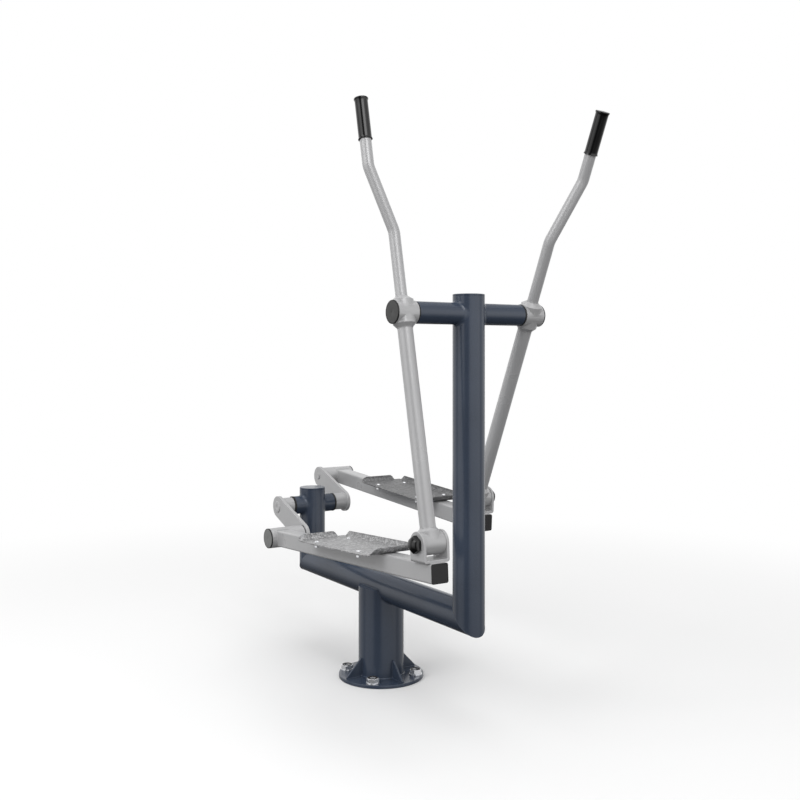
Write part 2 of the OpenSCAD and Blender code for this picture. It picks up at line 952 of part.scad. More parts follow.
// The outer cap with its spigot, and the dust ring at the crank
module sleeve_caps(side) {
    color(charcoal)
        place_bar(side)
            on_side(side) {
                y_disc(sleeve_out, sleeve_out + sleeve_cap_t, sleeve_d, hub_lip);
                y_tube(sleeve_out - cap_spigot_l, sleeve_out, bearing_od, bearing_od - 2 * hub_cap_t);
                y_tube(dust_ring_in, sleeve_in, sleeve_d, seal_bore);
            }
}

module sleeve_bearings(side) {
    outer_start = sleeve_out - cap_spigot_l - bearing_w;
    color(steel)
        place_bar(side)
            on_side(side) {
                ball_bearing(sleeve_in, bearing_od, bearing_bore, bearing_w);
                ball_bearing(outer_start, bearing_od, bearing_bore, bearing_w);
            }
}

module pedal_spindle(side) {
    collar_in = sleeve_out - cap_spigot_l;
    color(steel)
        place_bar(side)
            on_side(side) {
                y_rod(dust_ring_in, collar_in, bearing_bore - 2 * seat_clearance);
                y_rod(collar_in, collar_in + spindle_collar_t, axle_collar_d);
            }
}

// A bent U bracket, welded across the top of the bar
module clevis(side) {
    foot_z = bar_h / 2;
    ear_h = pivot_up - foot_z;
    inner_half = clevis_half - ear_t;
    color(silver)
        place_bar(side)
            translate([pivot_along, side * track, foot_z])
                difference() {
                    union() {
                        translate([-ear_r, -inner_half, 0])
                            cube([clevis_w, 2 * inner_half, ear_t]);
                        for (y = [-1, 1]) {
                            translate([-ear_r, y * inner_half - (y < 0 ? ear_t : 0), ear_t])
                                cube([clevis_w, ear_t, ear_h - ear_t]);
                            translate([0, y * inner_half - (y < 0 ? ear_t : 0), ear_h])
                                y_rod(0, ear_t, clevis_w);
                            intersection() {
                                translate([-ear_r, y * inner_half, ear_t])
                                    rotate([0, 90, 0])
                                        cylinder(r = ear_t, h = clevis_w);
                                translate([-ear_r, y * inner_half - (y < 0 ? ear_t : 0), 0])
                                    cube([clevis_w, ear_t, ear_t]);
                            }
                        }
                    }
                    translate([0, 0, ear_h])
                        y_rod(-clevis_half - overrun, clevis_half + overrun,
                            small_bearing_bore + 2 * seat_clearance);
                }
}

// The bolt's head lies on the inner ear, its nut under the cap on the outer one
module clevis_bolt(side) {
    nut_h = nut_cap_h - 2 * clevis_bolt_end;
    nut_af = nut_cap_af - 2 * clevis_bolt_end;
    color(zinc)
        place_bar(side)
            translate([pivot_along, 0, pivot_up])
                on_side(side)
                    translate([0, track, 0]) {
                        y_rod(-clevis_half, clevis_half + nut_h,
                            small_bearing_bore - 2 * running_clearance);
                        mirror([0, 1, 0])
                            y_disc(clevis_half, clevis_half + clevis_head_h, clevis_head_d,
                                clevis_head_h / 2);
                        translate([0, clevis_half, 0])
                            rotate([-90, 0, 0])
                                difference() {
                                    cylinder(d = nut_af / cos(30), h = nut_h, $fn = 6);
                                    translate([0, 0, -overrun])
                                        cylinder(d = small_bearing_bore, h = nut_h + 2 * overrun);
                                }
                    }
}

// A domed six-sided cap, hollow over the nut
module nut_cap(side) {
    nut_h = nut_cap_h - 2 * clevis_bolt_end;
    nut_af = nut_cap_af - 2 * clevis_bolt_end;
    corner_d = nut_cap_af / cos(30);
    dome_r = nut_dome_share * corner_d;
    color(black)
        place_bar(side)
            translate([pivot_along, 0, pivot_up])
                on_side(side)
                    translate([0, track + clevis_half, 0])
                        rotate([-90, 0, 0])
                            difference() {
                                intersection() {
                                    cylinder(d = corner_d, h = nut_cap_h, $fn = 6);
                                    translate([0, 0, nut_cap_h - dome_r])
                                        sphere(r = dome_r);
                                }
                                translate([0, 0, -overrun])
                                    cylinder(
                                        d = (nut_af + hole_play) / cos(30),
                                        h = nut_h + hole_play + overrun,
                                        $fn = 6
                                    );
                            }
}

// A curled edge along X: the sheet turns up through a quarter circle, and its ends are cut slanting
module curl(l, start_cut, end_cut) {
    intersection() {
        translate([0, -curl_r, curl_r])
            rotate([0, 90, 0])
                difference() {
                    cylinder(r = curl_r, h = l);
                    translate([0, 0, -overrun])
                        cylinder(r = curl_r - pedal_t, h = l + 2 * overrun);
                }
        rotate([90, 0, 0])
            linear_extrude(curl_r)
                polygon([
                    [0, 0],
                    [l, 0],
                    [l, curl_lip],
                    [l - cut_turn_share * end_cut, cut_rise_share * curl_r],
                    [l - end_cut, curl_r],
                    [start_cut, curl_r],
                    [cut_turn_share * start_cut, cut_rise_share * curl_r],
                    [0, curl_lip]
                ]);
    }
}

// Places children as a curled edge: at the rear, along the side, then at the front
module at_rear() {
    translate([0, rear_curl_l - pedal_w / 2, 0])
        rotate([0, 0, 90])
            mirror([1, 0, 0])
                children();
}

module at_side() {
    translate([pedal_l - curl_r - corner_relief - side_curl_l, pedal_w / 2, 0])
        children();
}

module at_front() {
    translate([pedal_l, pedal_w / 2 - front_curl_inset, 0])
        rotate([0, 0, -90])
            children();
}

// The flat sheet that a curled edge takes away
module curl_room(l) {
    translate([0, -curl_r, -overrun])
        cube([l, curl_r + overrun, pedal_t + 2 * overrun]);
}

// The tread: both pedals are alike, with the curled side edge at +Y
module pedal_plate(side) {
    color(grit)
        place_bar(side)
            translate([pedal_start, side * pedal_y, bar_h / 2]) {
                difference() {
                    translate([0, -pedal_w / 2, 0])
                        linear_extrude(pedal_t)
                            polygon([
                                [0, 0],
                                [pedal_l - sheet_corner, 0],
                                [pedal_l, sheet_corner],
                                [pedal_l, pedal_w],
                                [0, pedal_w]
                            ]);
                    at_rear()
                        curl_room(rear_curl_l + overrun);
                    at_side()
                        curl_room(side_curl_l + pedal_l);
                    at_front()
                        translate([-pedal_w, 0, 0])
                            curl_room(pedal_w + front_curl_l);
                    for (x = [0, 1], y = [-1, 1]) {
                        translate([
                            first_bolt - pedal_start + x * bolt_pitch,
                            y * bolt_span / 2,
                            -overrun
                        ])
                            cylinder(d = pedal_bolt_d + hole_play, h = pedal_t + 2 * overrun);
                    }
                }
                at_rear()
                    curl(rear_curl_l, curl_cut, curl_long_cut);
                at_side()
                    curl(side_curl_l, curl_cut, curl_cut);
                at_front()
                    curl(front_curl_l, curl_cut, curl_long_cut);
            }
}

// Flat lugs welded to the bar's sides, flush with its top
module pedal_lugs(side) {
    lug_z = bar_h / 2 - lug_t;
    lug_l = bolt_span + 2 * lug_end;
    color(silver)
        place_bar(side)
            on_side(side)
                difference() {
                    for (x = [0, 1]) {
                        translate([
                            first_bolt + x * bolt_pitch - lug_w / 2,
                            pedal_y - lug_l / 2,
                            lug_z
                        ])
                            cube([lug_w, lug_l, lug_t]);
                    }
                    translate([0, track, 0])
                        rounded_bar(
                            pedal_start,
                            pedal_start + pedal_l,
                            bar_w + 2 * weld_clearance,
                            bar_h + 2 * weld_clearance,
                            bar_corner
                        );
                    for (x = [0, 1], y = [-1, 1]) {
                        translate([
                            first_bolt + x * bolt_pitch,
                            pedal_y + y * bolt_span / 2,
                            lug_z - overrun
                        ])
                            cylinder(d = pedal_bolt_d + hole_play, h = lug_t + 2 * overrun);
                    }
                }
}

module pedal_bolts(side) {
    plate_top = bar_h / 2 + pedal_t;
    lug_bottom = bar_h / 2 - lug_t;
    tail = lug_bottom - pedal_nut_h - bolt_tail;
    color(zinc)
        place_bar(side)
            on_side(side)
                for (x = [0, 1], y = [-1, 1]) {
                    translate([first_bolt + x * bolt_pitch, pedal_y + y * bolt_span / 2, 0]) {
                        translate([0, 0, tail])
                            cylinder(d = pedal_bolt_d, h = plate_top - tail);
                        translate([0, 0, plate_top])
                            cylinder(d1 = pedal_head_d, d2 = pedal_bolt_d, h = pedal_head_h);
                        translate([0, 0, lug_bottom - pedal_nut_h])
                            cylinder(d = pedal_nut_af / cos(30), h = pedal_nut_h, $fn = 6);
                    }
                }
}

base_flange();
base_gussets();
base_post();
main_beam();
rear_post();
front_post();
post_caps();
cross_tube();
crank_housing();
arm_axle();
anchor_nuts();
anchor_washers();
crank_bearings();
seal_rings();
crank_spindle();
crank_hub(right);  // right_crank_hub
crank_hub(left);  // left_crank_hub
crank_plate(right);  // right_crank_plate
crank_plate(left);  // left_crank_plate
crank_plugs();
pin_bolts();
arm_hub(right);  // right_arm_hub
lower_tube(right);  // right_lower_tube
upper_tube(right);  // right_upper_tube
grip(right);  // right_grip
hub_cap(right);  // right_hub_cap
arm_bearings(right);  // right_arm_bearings
lower_hub(right);  // right_lower_hub
arm_hub(left);  // left_arm_hub
lower_tube(left);  // left_lower_tube
upper_tube(left);  // left_upper_tube
grip(left);  // left_grip
hub_cap(left);  // left_hub_cap
arm_bearings(left);  // left_arm_bearings
lower_hub(left);  // left_lower_hub
pedal_bar(right);  // right_pedal_bar
bar_cap(right);  // right_bar_cap
pivot_sleeve(right);  // right_pivot_sleeve
sleeve_caps(right);  // right_sleeve_caps
sleeve_bearings(right);  // right_sleeve_bearings
pedal_spindle(right);  // right_pedal_spindle
clevis(right);  // right_clevis
clevis_bolt(right);  // right_clevis_bolt
nut_cap(right);  // right_nut_cap
pedal_plate(right);  // right_pedal_plate
pedal_lugs(right);  // right_pedal_lugs
pedal_bolts(right);  // right_pedal_bolts
pedal_bar(left);  // left_pedal_bar
bar_cap(left);  // left_bar_cap
pivot_sleeve(left);  // left_pivot_sleeve
sleeve_caps(left);  // left_sleeve_caps
sleeve_bearings(left);  // left_sleeve_bearings
pedal_spindle(left);  // left_pedal_spindle
clevis(left);  // left_clevis
clevis_bolt(left);  // left_clevis_bolt
nut_cap(left);  // left_nut_cap
pedal_plate(left);  // left_pedal_plate
pedal_lugs(left);  // left_pedal_lugs
pedal_bolts(left);  // left_pedal_bolts
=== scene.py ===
import json
import math

import bmesh
import bpy
from mathutils import Matrix, Vector


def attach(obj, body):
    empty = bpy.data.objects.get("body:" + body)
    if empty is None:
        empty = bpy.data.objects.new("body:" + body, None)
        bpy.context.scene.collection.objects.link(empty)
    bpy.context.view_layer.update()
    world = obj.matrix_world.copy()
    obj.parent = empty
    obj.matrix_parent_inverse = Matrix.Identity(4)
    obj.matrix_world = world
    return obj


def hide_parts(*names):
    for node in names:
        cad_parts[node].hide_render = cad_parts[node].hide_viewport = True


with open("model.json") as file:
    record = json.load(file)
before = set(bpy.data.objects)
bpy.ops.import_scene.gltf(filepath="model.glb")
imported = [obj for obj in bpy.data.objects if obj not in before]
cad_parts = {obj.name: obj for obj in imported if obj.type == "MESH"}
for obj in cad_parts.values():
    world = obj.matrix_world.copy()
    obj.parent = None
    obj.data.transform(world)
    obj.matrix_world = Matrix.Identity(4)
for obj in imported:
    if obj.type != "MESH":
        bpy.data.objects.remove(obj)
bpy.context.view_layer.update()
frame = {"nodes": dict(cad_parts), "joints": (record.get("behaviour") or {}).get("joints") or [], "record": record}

nodes = frame["nodes"]
scene = bpy.context.scene
mm = 0.001
sides = {"right": -1, "left": 1}
print("frame loaded:", len(nodes), "nodes")


# Colours are written as they look on a screen and turned to linear here
def toLinear(hexColour):
    channels = [int(hexColour[i:i + 2], 16) / 255 for i in (1, 3, 5)]
    return tuple(c / 12.92 if c <= 0.04045 else ((c + 0.055) / 1.055) ** 2.4 for c in channels) + (1.0,)


# Adds one node to a material, with its settings and its links
def addNode(tree, kind, settings=None, values=None, links=None):
    made = tree.nodes.new(kind)
    for key, value in (settings or {}).items():
        setattr(made, key, value)
    for key, value in (values or {}).items():
        made.inputs[key].default_value = value
    for key, source in (links or {}).items():
        tree.links.new(source, made.inputs[key])
    return made


def newMaterial(name):
    material = bpy.data.materials.new(name)
    material.use_nodes = True
    material.node_tree.nodes.clear()
    return material, material.node_tree


def grey(level):
    return (level, level, level, 1)


def setRamp(ramp, stops):
    points = ramp.color_ramp.elements
    while len(points) < len(stops):
        points.new(0.5)
    for point, (place, colour) in zip(points, stops):
        point.position = place
        point.color = colour


# Powder coat on steel: a baked polyester film. It gives the eye a soft satin gloss, a faint
# orange peel, and a tone that drifts a little where dust and rain have dulled it.
def makePowderCoat(name, look):
    material, tree = newMaterial(name)
    place = addNode(tree, "ShaderNodeTexCoord").outputs["Object"]
    drift = addNode(tree, "ShaderNodeTexNoise", values={
        "Scale": 1 / look["driftSize"], "Detail": 3.0, "Roughness": 0.55}, links={"Vector": place})
    tone = addNode(tree, "ShaderNodeValToRGB", links={"Fac": drift.outputs["Fac"]})
    setRamp(tone, [(0.3, toLinear(look["dull"])), (0.7, toLinear(look["colour"]))])
    peel = addNode(tree, "ShaderNodeTexNoise", values={
        "Scale": 1 / look["peelSize"], "Detail": 2.0}, links={"Vector": place})
    fleck = addNode(tree, "ShaderNodeTexNoise", values={
        "Scale": 1 / look["fleckSize"], "Detail": 1.0}, links={"Vector": place})
    fleckMask = addNode(tree, "ShaderNodeMapRange", values={
        "From Min": 0.5, "From Max": 0.75, "To Max": look["fleckAmount"]},
        links={"Value": fleck.outputs["Fac"]})
    paint = addNode(tree, "ShaderNodeMix", {"data_type": "RGBA"}, links={
        "Factor": fleckMask.outputs["Result"], "A": tone.outputs["Color"]})
    paint.inputs["B"].default_value = toLinear(look["fleck"])
    gloss = addNode(tree, "ShaderNodeMapRange", values={
        "From Min": 0.3, "From Max": 0.7, "To Min": look["roughness"] + 0.07, "To Max": look["roughness"]},
        links={"Value": drift.outputs["Fac"]})
    bump = addNode(tree, "ShaderNodeBump", values={
        "Strength": look["peelStrength"], "Distance": 0.00025}, links={"Height": peel.outputs["Fac"]})
    shader = addNode(tree, "ShaderNodeBsdfPrincipled", values={
        "Metallic": look["metallic"], "IOR": 1.5}, links={
        "Base Color": paint.outputs["Result"], "Roughness": gloss.outputs["Result"],
        "Normal": bump.outputs["Normal"]})
    addNode(tree, "ShaderNodeOutputMaterial", links={"Surface": shader.outputs["BSDF"]})
    return material


navyLook = {"colour": "#3a4454", "dull": "#343d4c", "fleck": "#485266", "fleckAmount": 0.3,
            "driftSize": 0.18, "peelSize": 0.0035, "fleckSize": 0.0022, "peelStrength": 0.12,
            "roughness": 0.18, "metallic": 0.0}
silverLook = {"colour": "#b3b3b4", "dull": "#acacad", "fleck": "#c2c2c4", "fleckAmount": 0.35,
              "driftSize": 0.15, "peelSize": 0.003, "fleckSize": 0.0016, "peelStrength": 0.03,
              "roughness": 0.26, "metallic": 0.15}
navyPowderCoat = makePowderCoat("navyPowderCoat", navyLook)
silverPowderCoat = makePowderCoat("silverPowderCoat", silverLook)


# Bright zinc on turned or forged steel: near mirror, with fine turning marks and dull spots
def makeBrightZinc(name, look):
    material, tree = newMaterial(name)
    place = addNode(tree, "ShaderNodeTexCoord").outputs["Object"]
    spots = addNode(tree, "ShaderNodeTexNoise", values={
        "Scale": 1 / look["spotSize"], "Detail": 4.0}, links={"Vector": place})
    tone = addNode(tree, "ShaderNodeValToRGB", links={"Fac": spots.outputs["Fac"]})
    setRamp(tone, [(0.35, toLinear(look["dull"])), (0.65, toLinear(look["colour"]))])
    gloss = addNode(tree, "ShaderNodeMapRange", values={
        "From Min": 0.35, "From Max": 0.65, "To Min": look["roughness"] + 0.15, "To Max": look["roughness"]},
        links={"Value": spots.outputs["Fac"]})
    marks = addNode(tree, "ShaderNodeTexNoise", values={
        "Scale": 1 / look["markSize"], "Detail": 1.0}, links={"Vector": place})
    bump = addNode(tree, "ShaderNodeBump", values={
        "Strength": 0.12, "Distance": 0.0001}, links={"Height": marks.outputs["Fac"]})
    shader = addNode(tree, "ShaderNodeBsdfPrincipled", values={"Metallic": look["metallic"]}, links={
        "Base Color": tone.outputs["Color"], "Roughness": gloss.outputs["Result"],
        "Normal": bump.outputs["Normal"]})
    addNode(tree, "ShaderNodeOutputMaterial", links={"Surface": shader.outputs["BSDF"]})
    return material


brightZinc = makeBrightZinc("brightZinc", {
    "colour": "#f4f5f7", "dull": "#e2e4e8", "spotSize": 0.012, "markSize": 0.0008, "roughness": 0.1,
    "metallic": 0.75})
groundSteel = makeBrightZinc("groundSteel", {
    "colour": "#b8babd", "dull": "#8e9094", "spotSize": 0.02, "markSize": 0.0006, "roughness": 0.3,
    "metallic": 1.0})


# Hot-dip galvanised steel sheet: mottled grey spangle under a fine grit
def makeGalvanisedTread(name, look):
    material, tree = newMaterial(name)
    place = addNode(tree, "ShaderNodeTexCoord").outputs["Object"]
    spangle = addNode(tree, "ShaderNodeTexVoronoi", {"feature": "F1"}, values={
        "Scale": 1 / look["spangleSize"]}, links={"Vector": place})
    spangleTone = addNode(tree, "ShaderNodeSeparateColor", links={"Color": spangle.outputs["Color"]})
    grit = addNode(tree, "ShaderNodeTexNoise", values={
        "Scale": 1 / look["gritSize"], "Detail": 3.0, "Roughness": 0.7}, links={"Vector": place})
    both = addNode(tree, "ShaderNodeMath", {"operation": "MULTIPLY_ADD"}, values={1: 0.35}, links={
        0: spangleTone.outputs["Red"], 2: grit.outputs["Fac"]})
    tone = addNode(tree, "ShaderNodeValToRGB", links={"Fac": both.outputs["Value"]})
    setRamp(tone, [(0.35, toLinear(look["dull"])), (0.62, toLinear(look["colour"])),
                   (0.95, toLinear(look["bright"]))])
    bump = addNode(tree, "ShaderNodeBump", values={
        "Strength": 0.2, "Distance": 0.0003}, links={"Height": grit.outputs["Fac"]})
    shader = addNode(tree, "ShaderNodeBsdfPrincipled", values={
        "Metallic": look["metallic"], "Roughness": look["roughness"]}, links={
        "Base Color": tone.outputs["Color"], "Normal": bump.outputs["Normal"]})
    addNode(tree, "ShaderNodeOutputMaterial", links={"Surface": shader.outputs["BSDF"]})
    return material


galvanisedTread = makeGalvanisedTread("galvanisedTread", {
    "colour": "#8a8a8b", "dull": "#666667", "bright": "#cbcbcc", "spangleSize": 0.005, "gritSize": 0.0026,
    "metallic": 0.45, "roughness": 0.38})
# The left tread has painted shade: the same galvanised sheet with darker colours and a duller finish, standing in
# for the shade it lies in
paintedShadeTread = makeGalvanisedTread("paintedShadeTread", {
    "colour": "#626263", "dull": "#4c4c4d", "bright": "#8e8e8f", "spangleSize": 0.005, "gritSize": 0.0026,
    "metallic": 0.3, "roughness": 0.5})


# Moulded rubber and plastic: a dark body with a fine moulded grain
def makeMoulded(name, look):
    material, tree = newMaterial(name)
    place = addNode(tree, "ShaderNodeTexCoord").outputs["Object"]
    grain = addNode(tree, "ShaderNodeTexNoise", values={
        "Scale": 1 / look["grainSize"], "Detail": 3.0}, links={"Vector": place})
    tone = addNode(tree, "ShaderNodeValToRGB", links={"Fac": grain.outputs["Fac"]})
    setRamp(tone, [(0.3, toLinear(look["dull"])), (0.7, toLinear(look["colour"]))])
    gloss = addNode(tree, "ShaderNodeMapRange", values={
        "From Min": 0.3, "From Max": 0.7, "To Min": look["roughness"] + 0.08, "To Max": look["roughness"]},
        links={"Value": grain.outputs["Fac"]})
    bump = addNode(tree, "ShaderNodeBump", values={
        "Strength": look["grainStrength"], "Distance": 0.0002}, links={"Height": grain.outputs["Fac"]})
    shader = addNode(tree, "ShaderNodeBsdfPrincipled", values={"IOR": look["ior"]}, links={
        "Base Color": tone.outputs["Color"], "Roughness": gloss.outputs["Result"],
        "Normal": bump.outputs["Normal"]})
    addNode(tree, "ShaderNodeOutputMaterial", links={"Surface": shader.outputs["BSDF"]})
    return material


gripRubber = makeMoulded("gripRubber", {
    "colour": "#0d0d0e", "dull": "#09090a", "grainSize": 0.0012, "grainStrength": 0.04,
    "roughness": 0.1, "ior": 1.52})
sealRubber = makeMoulded("sealRubber", {
    "colour": "#1b1b1d", "dull": "#131314", "grainSize": 0.0015, "grainStrength": 0.25,
    "roughness": 0.6, "ior": 1.5})
blackNylon = makeMoulded("blackNylon", {
    "colour": "#151416", "dull": "#0f0e10", "grainSize": 0.0012, "grainStrength": 0.25,
    "roughness": 0.52, "ior": 1.5})
hubCapNylon = makeMoulded("hubCapNylon", {
    "colour": "#414141", "dull": "#393939", "grainSize": 0.0012, "grainStrength": 0.3,
    "roughness": 0.5, "ior": 1.53})
sleeveCapNylon = makeMoulded("sleeveCapNylon", {
    "colour": "#7c7d7c", "dull": "#717271", "grainSize": 0.0012, "grainStrength": 0.3,
    "roughness": 0.5, "ior": 1.53})
glossNylon = makeMoulded("glossNylon", {
    "colour": "#0f0f10", "dull": "#0b0b0c", "grainSize": 0.002, "grainStrength": 0.05,
    "roughness": 0.14, "ior": 1.53})
materialOf = {
    "navy_coat": navyPowderCoat, "silver_coat": silverPowderCoat, "zinc_plate": brightZinc,
    "bearing_steel": groundSteel, "galvanised_tread": galvanisedTread, "grip_rubber": gripRubber,
    "black_rubber": sealRubber, "black_plastic": blackNylon, "cap_plastic": hubCapNylon}
# The left pedal plate gets the tread copy with painted shade
ownMaterial = {"left_pedal_plate": paintedShadeTread}
slotOf = {part["node"]: part["material_slot"] for part in frame["record"]["subparts"]}
for name, node in nodes.items():
    node.data.materials.clear()
    node.data.materials.append(ownMaterial.get(name, materialOf[slotOf[name]]))
print("materials made:", len(materialOf))

# The main lengths of the machine in millimetres, as the solids have them
machine = {"rearReach": 464, "frontReach": 459, "beamHeight": 283, "crankHeight": 479, "armHeight": 1117,
           "frameTube": 88.9, "baseTube": 141.3, "flange": 10, "track": 214, "crankThrow": 198,
           "crankAngle": -20.2, "pivotAlong": 865, "pivotUp": 71.5, "armLength": 600}
jointAt = {joint["name"]: Vector(joint["pos_m"]) for joint in frame["joints"]}
crankAxis = Matrix.Translation((-machine["rearReach"] * mm, 0, machine["crankHeight"] * mm))
crankPlace, barPlace, armPlace = {}, {}, {}
for sideName, side in sides.items():
    crankTurn = math.radians(-machine["crankAngle"] + (180 if side > 0 else 0))
    crankPlace[sideName] = crankAxis @ Matrix.Rotation(crankTurn, 4, "Y")
    pin = crankPlace[sideName] @ Vector((machine["crankThrow"] * mm, 0, 0))
    pivot = jointAt[sideName + "_bar_pivot"]
    shoulder = jointAt[sideName + "_arm_swing"]
    coupler = math.atan2(pivot.z - pin.z, pivot.x - pin.x)
    pitch = coupler - math.atan2(machine["pivotUp"], machine["pivotAlong"])
    barPlace[sideName] = Matrix.Translation(pin) @ Matrix.Rotation(-pitch, 4, "Y")
    lean = math.atan2(shoulder.x - pivot.x, shoulder.z - pivot.z)
    armPlace[sideName] = Matrix.Translation((shoulder.x, 0, shoulder.z)) @ Matrix.Rotation(lean, 4, "Y")


# Turns Z to this side's outward Y, at a distance from the middle plane
def facingOut(place, side, distance, along=0.0, up=0.0):
    return place @ Matrix.Translation((along * mm, side * distance * mm, up * mm)) @ Matrix.Rotation(
        -side * math.pi / 2, 4, "X")


# Makes a finished object of a shape: smooth but for its sharp edges, riding on its body
def finishPiece(shape, name, body, slot, replaced=(), smoothBelow=38, material=None):
    mesh = bpy.data.meshes.new(name)
    shape.to_mesh(mesh)
    shape.free()
    mesh.shade_smooth()
    mesh.set_sharp_from_angle(angle=math.radians(smoothBelow))
    mesh.materials.append(material or materialOf[slot])
    piece = bpy.data.objects.new(name, mesh)
    scene.collection.objects.link(piece)
    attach(piece, body)
    if replaced:
        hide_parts(*replaced)
    return piece


# Adds a turned shape: a profile of radius and height in millimetres, spun about Z, then placed
def addTurned(shape, profile, place, steps=72, closed=False):
    made = [shape.verts.new((radius * mm, 0, height * mm)) for radius, height in profile]
    edges = [shape.edges.new(pair) for pair in zip(made, made[1:])]
    if closed:
        edges.append(shape.edges.new((made[-1], made[0])))
    before = set(shape.verts) - set(made)
    bmesh.ops.spin(shape, geom=made + edges, axis=(0, 0, 1), cent=(0, 0, 0), angle=2 * math.pi,
                   steps=steps, use_merge=True)
    added = [vert for vert in shape.verts if vert not in before]
    bmesh.ops.remove_doubles(shape, verts=added, dist=1e-6)
    added = [vert for vert in shape.verts if vert not in before]
    faces = list({face for vert in added for face in vert.link_faces})
    bmesh.ops.recalc_face_normals(shape, faces=faces)
    bmesh.ops.transform(shape, matrix=place, verts=added)


# Adds a shape of rings: each gives a height and a radius in millimetres for each angle
def addRings(shape, rings, place, segments=72, looped=False):
    before = set(shape.verts)
    edges = None
    for heightAt, radiusAt in rings + rings[:1] * looped:
        if edges is None:
            ring = bmesh.ops.create_circle(shape, segments=segments, radius=1)["verts"]
            edges = list({edge for vert in ring for edge in vert.link_edges})
        else:
            grown = bmesh.ops.extrude_edge_only(shape, edges=edges)["geom"]
            ring = [item for item in grown if isinstance(item, bmesh.types.BMVert)]
            edges = [item for item in grown if isinstance(item, bmesh.types.BMEdge)]
        for vert in ring:
            angle = math.atan2(vert.co.y, vert.co.x)
            radius = max(radiusAt(angle), 0.001) * mm
            height = heightAt(angle) if callable(heightAt) else heightAt
            vert.co = (radius * math.cos(angle), radius * math.sin(angle), height * mm)
    added = [vert for vert in shape.verts if vert not in before]
    bmesh.ops.remove_doubles(shape, verts=added, dist=4e-6)
    added = [vert for vert in shape.verts if vert not in before]
    faces = list({face for vert in added for face in vert.link_faces})
    bmesh.ops.recalc_face_normals(shape, faces=faces)
    bmesh.ops.transform(shape, matrix=place, verts=added)


# The radius of a hexagon at an angle, from its width across flats
def hexagonAt(angle, across):
    return across / 2 / math.cos((angle + math.pi / 6) % (math.pi / 3) - math.pi / 6)


# Copies of the solids with their sharp edges rounded, width in millimetres
softEdges = {
    "base_flange": 1.5, "base_gussets": 1.0, "post_caps": 1.2, "cross_tube": 0.6, "crank_housing": 0.8,
    "base_post": 0.4, "main_beam": 0.4, "rear_post": 0.4, "front_post": 0.4,
    "seal_rings": 0.8, "anchor_washers": 0.4, "right_crank_hub": 0.6, "left_crank_hub": 0.6,
    "right_crank_plate": 2.6, "left_crank_plate": 2.6, "pin_bolts": 0.6}
softSideEdges = {"arm_hub": 1.0, "lower_hub": 1.0, "pivot_sleeve": 0.8, "clevis": 1.6, "clevis_bolt": 0.8,
                 "pedal_plate": 0.5, "pedal_lugs": 0.8, "lower_tube": 0.4, "pedal_bar": 0.4}
for sideName in sides:
    for part, width in softSideEdges.items():
        softEdges[sideName + "_" + part] = width
bodies = frame["record"]["behaviour"]["bodies"]
bodyOf = {node: body for body, members in bodies.items() for node in members}
roundAbove = math.radians(32)
for node, width in softEdges.items():
    shape = bmesh.new()
    shape.from_mesh(nodes[node].data)
    bmesh.ops.remove_doubles(shape, verts=shape.verts, dist=1e-5)
    bmesh.ops.dissolve_limit(shape, angle_limit=math.radians(0.5), verts=shape.verts, edges=shape.edges)
    sharp = [edge for edge in shape.edges
             if len(edge.link_faces) == 2 and edge.calc_face_angle() > roundAbove]
    bmesh.ops.bevel(shape, geom=sharp, offset=width * mm, offset_type="OFFSET", affect="EDGES", segments=3,
                    profile=0.5, material=-1, clamp_overlap=True)
    piece = finishPiece(shape, "soft_" + node, bodyOf[node], slotOf[node], [node],
                        material=ownMaterial.get(node))
    piece.modifiers.new("flatFaces", "WEIGHTED_NORMAL").keep_sharp = True
print("edges rounded:", len(softEdges))


# Sweeps round cords or tubes along runs of points, each with its radii in millimetres
def sweepRound(name, runs, fineness):
    cord = bpy.data.curves.new(name, "CURVE")
    cord.dimensions = "3D"
    cord.bevel_depth = mm
    cord.bevel_resolution = fineness
    cord.use_fill_caps = True
    for points, radii, closed in runs:
        spline = cord.splines.new("POLY")
        spline.points.add(len(points) - 1)
        spline.use_cyclic_u = closed
        for knot, point, radius in zip(spline.points, points, radii):
            knot.co = (*point, 1)
            knot.radius = radius
    drawn = bpy.data.objects.new(name, cord)
    scene.collection.objects.link(drawn)
    settled = drawn.evaluated_get(bpy.context.evaluated_depsgraph_get())
    solid = bpy.data.meshes.new_from_object(settled)
    bpy.data.objects.remove(drawn)
    shape = bmesh.new()
    shape.from_mesh(solid)
    return shape


# Upper arms: one tube each, bent outwards and back on a bending machine
bentLook = {"radius": 15.9, "foot": 33, "firstBend": 222, "secondBend": 400, "bendRadius": 60,
            "offset": 58, "top": 588, "steps": 16, "roundness": 22}
bendAngle = math.atan2(bentLook["offset"], bentLook["secondBend"] - bentLook["firstBend"])
bendRadius = bentLook["bendRadius"]
tangent = bendRadius * math.tan(bendAngle / 2)
for sideName, side in sides.items():
    path = [(0, bentLook["foot"])]
    for index in range(bentLook["steps"] + 1):
        angle = bendAngle * index / bentLook["steps"]
        path.append((bendRadius * (1 - math.cos(angle)),
                     bentLook["firstBend"] - tangent + bendRadius * math.sin(angle)))
    for index in range(bentLook["steps"] + 1):
        angle = bendAngle * (1 - index / bentLook["steps"])
        path.append((bentLook["offset"] - bendRadius * (1 - math.cos(angle)),
                     bentLook["secondBend"] + tangent - bendRadius * math.sin(angle)))
    path.append((bentLook["offset"], bentLook["top"]))
    points = [armPlace[sideName] @ Vector((0, side * (machine["track"] + out) * mm, up * mm))
              for out, up in path]
    shape = sweepRound(sideName + "TubeRun", [(points, [bentLook["radius"]] * len(points), False)],
                       bentLook["roundness"])
    finishPiece(shape, sideName + "ArmTube", sideName + "_arm", "silver_coat",
                [sideName + "_upper_tube"], 60)
print("upper arms made")

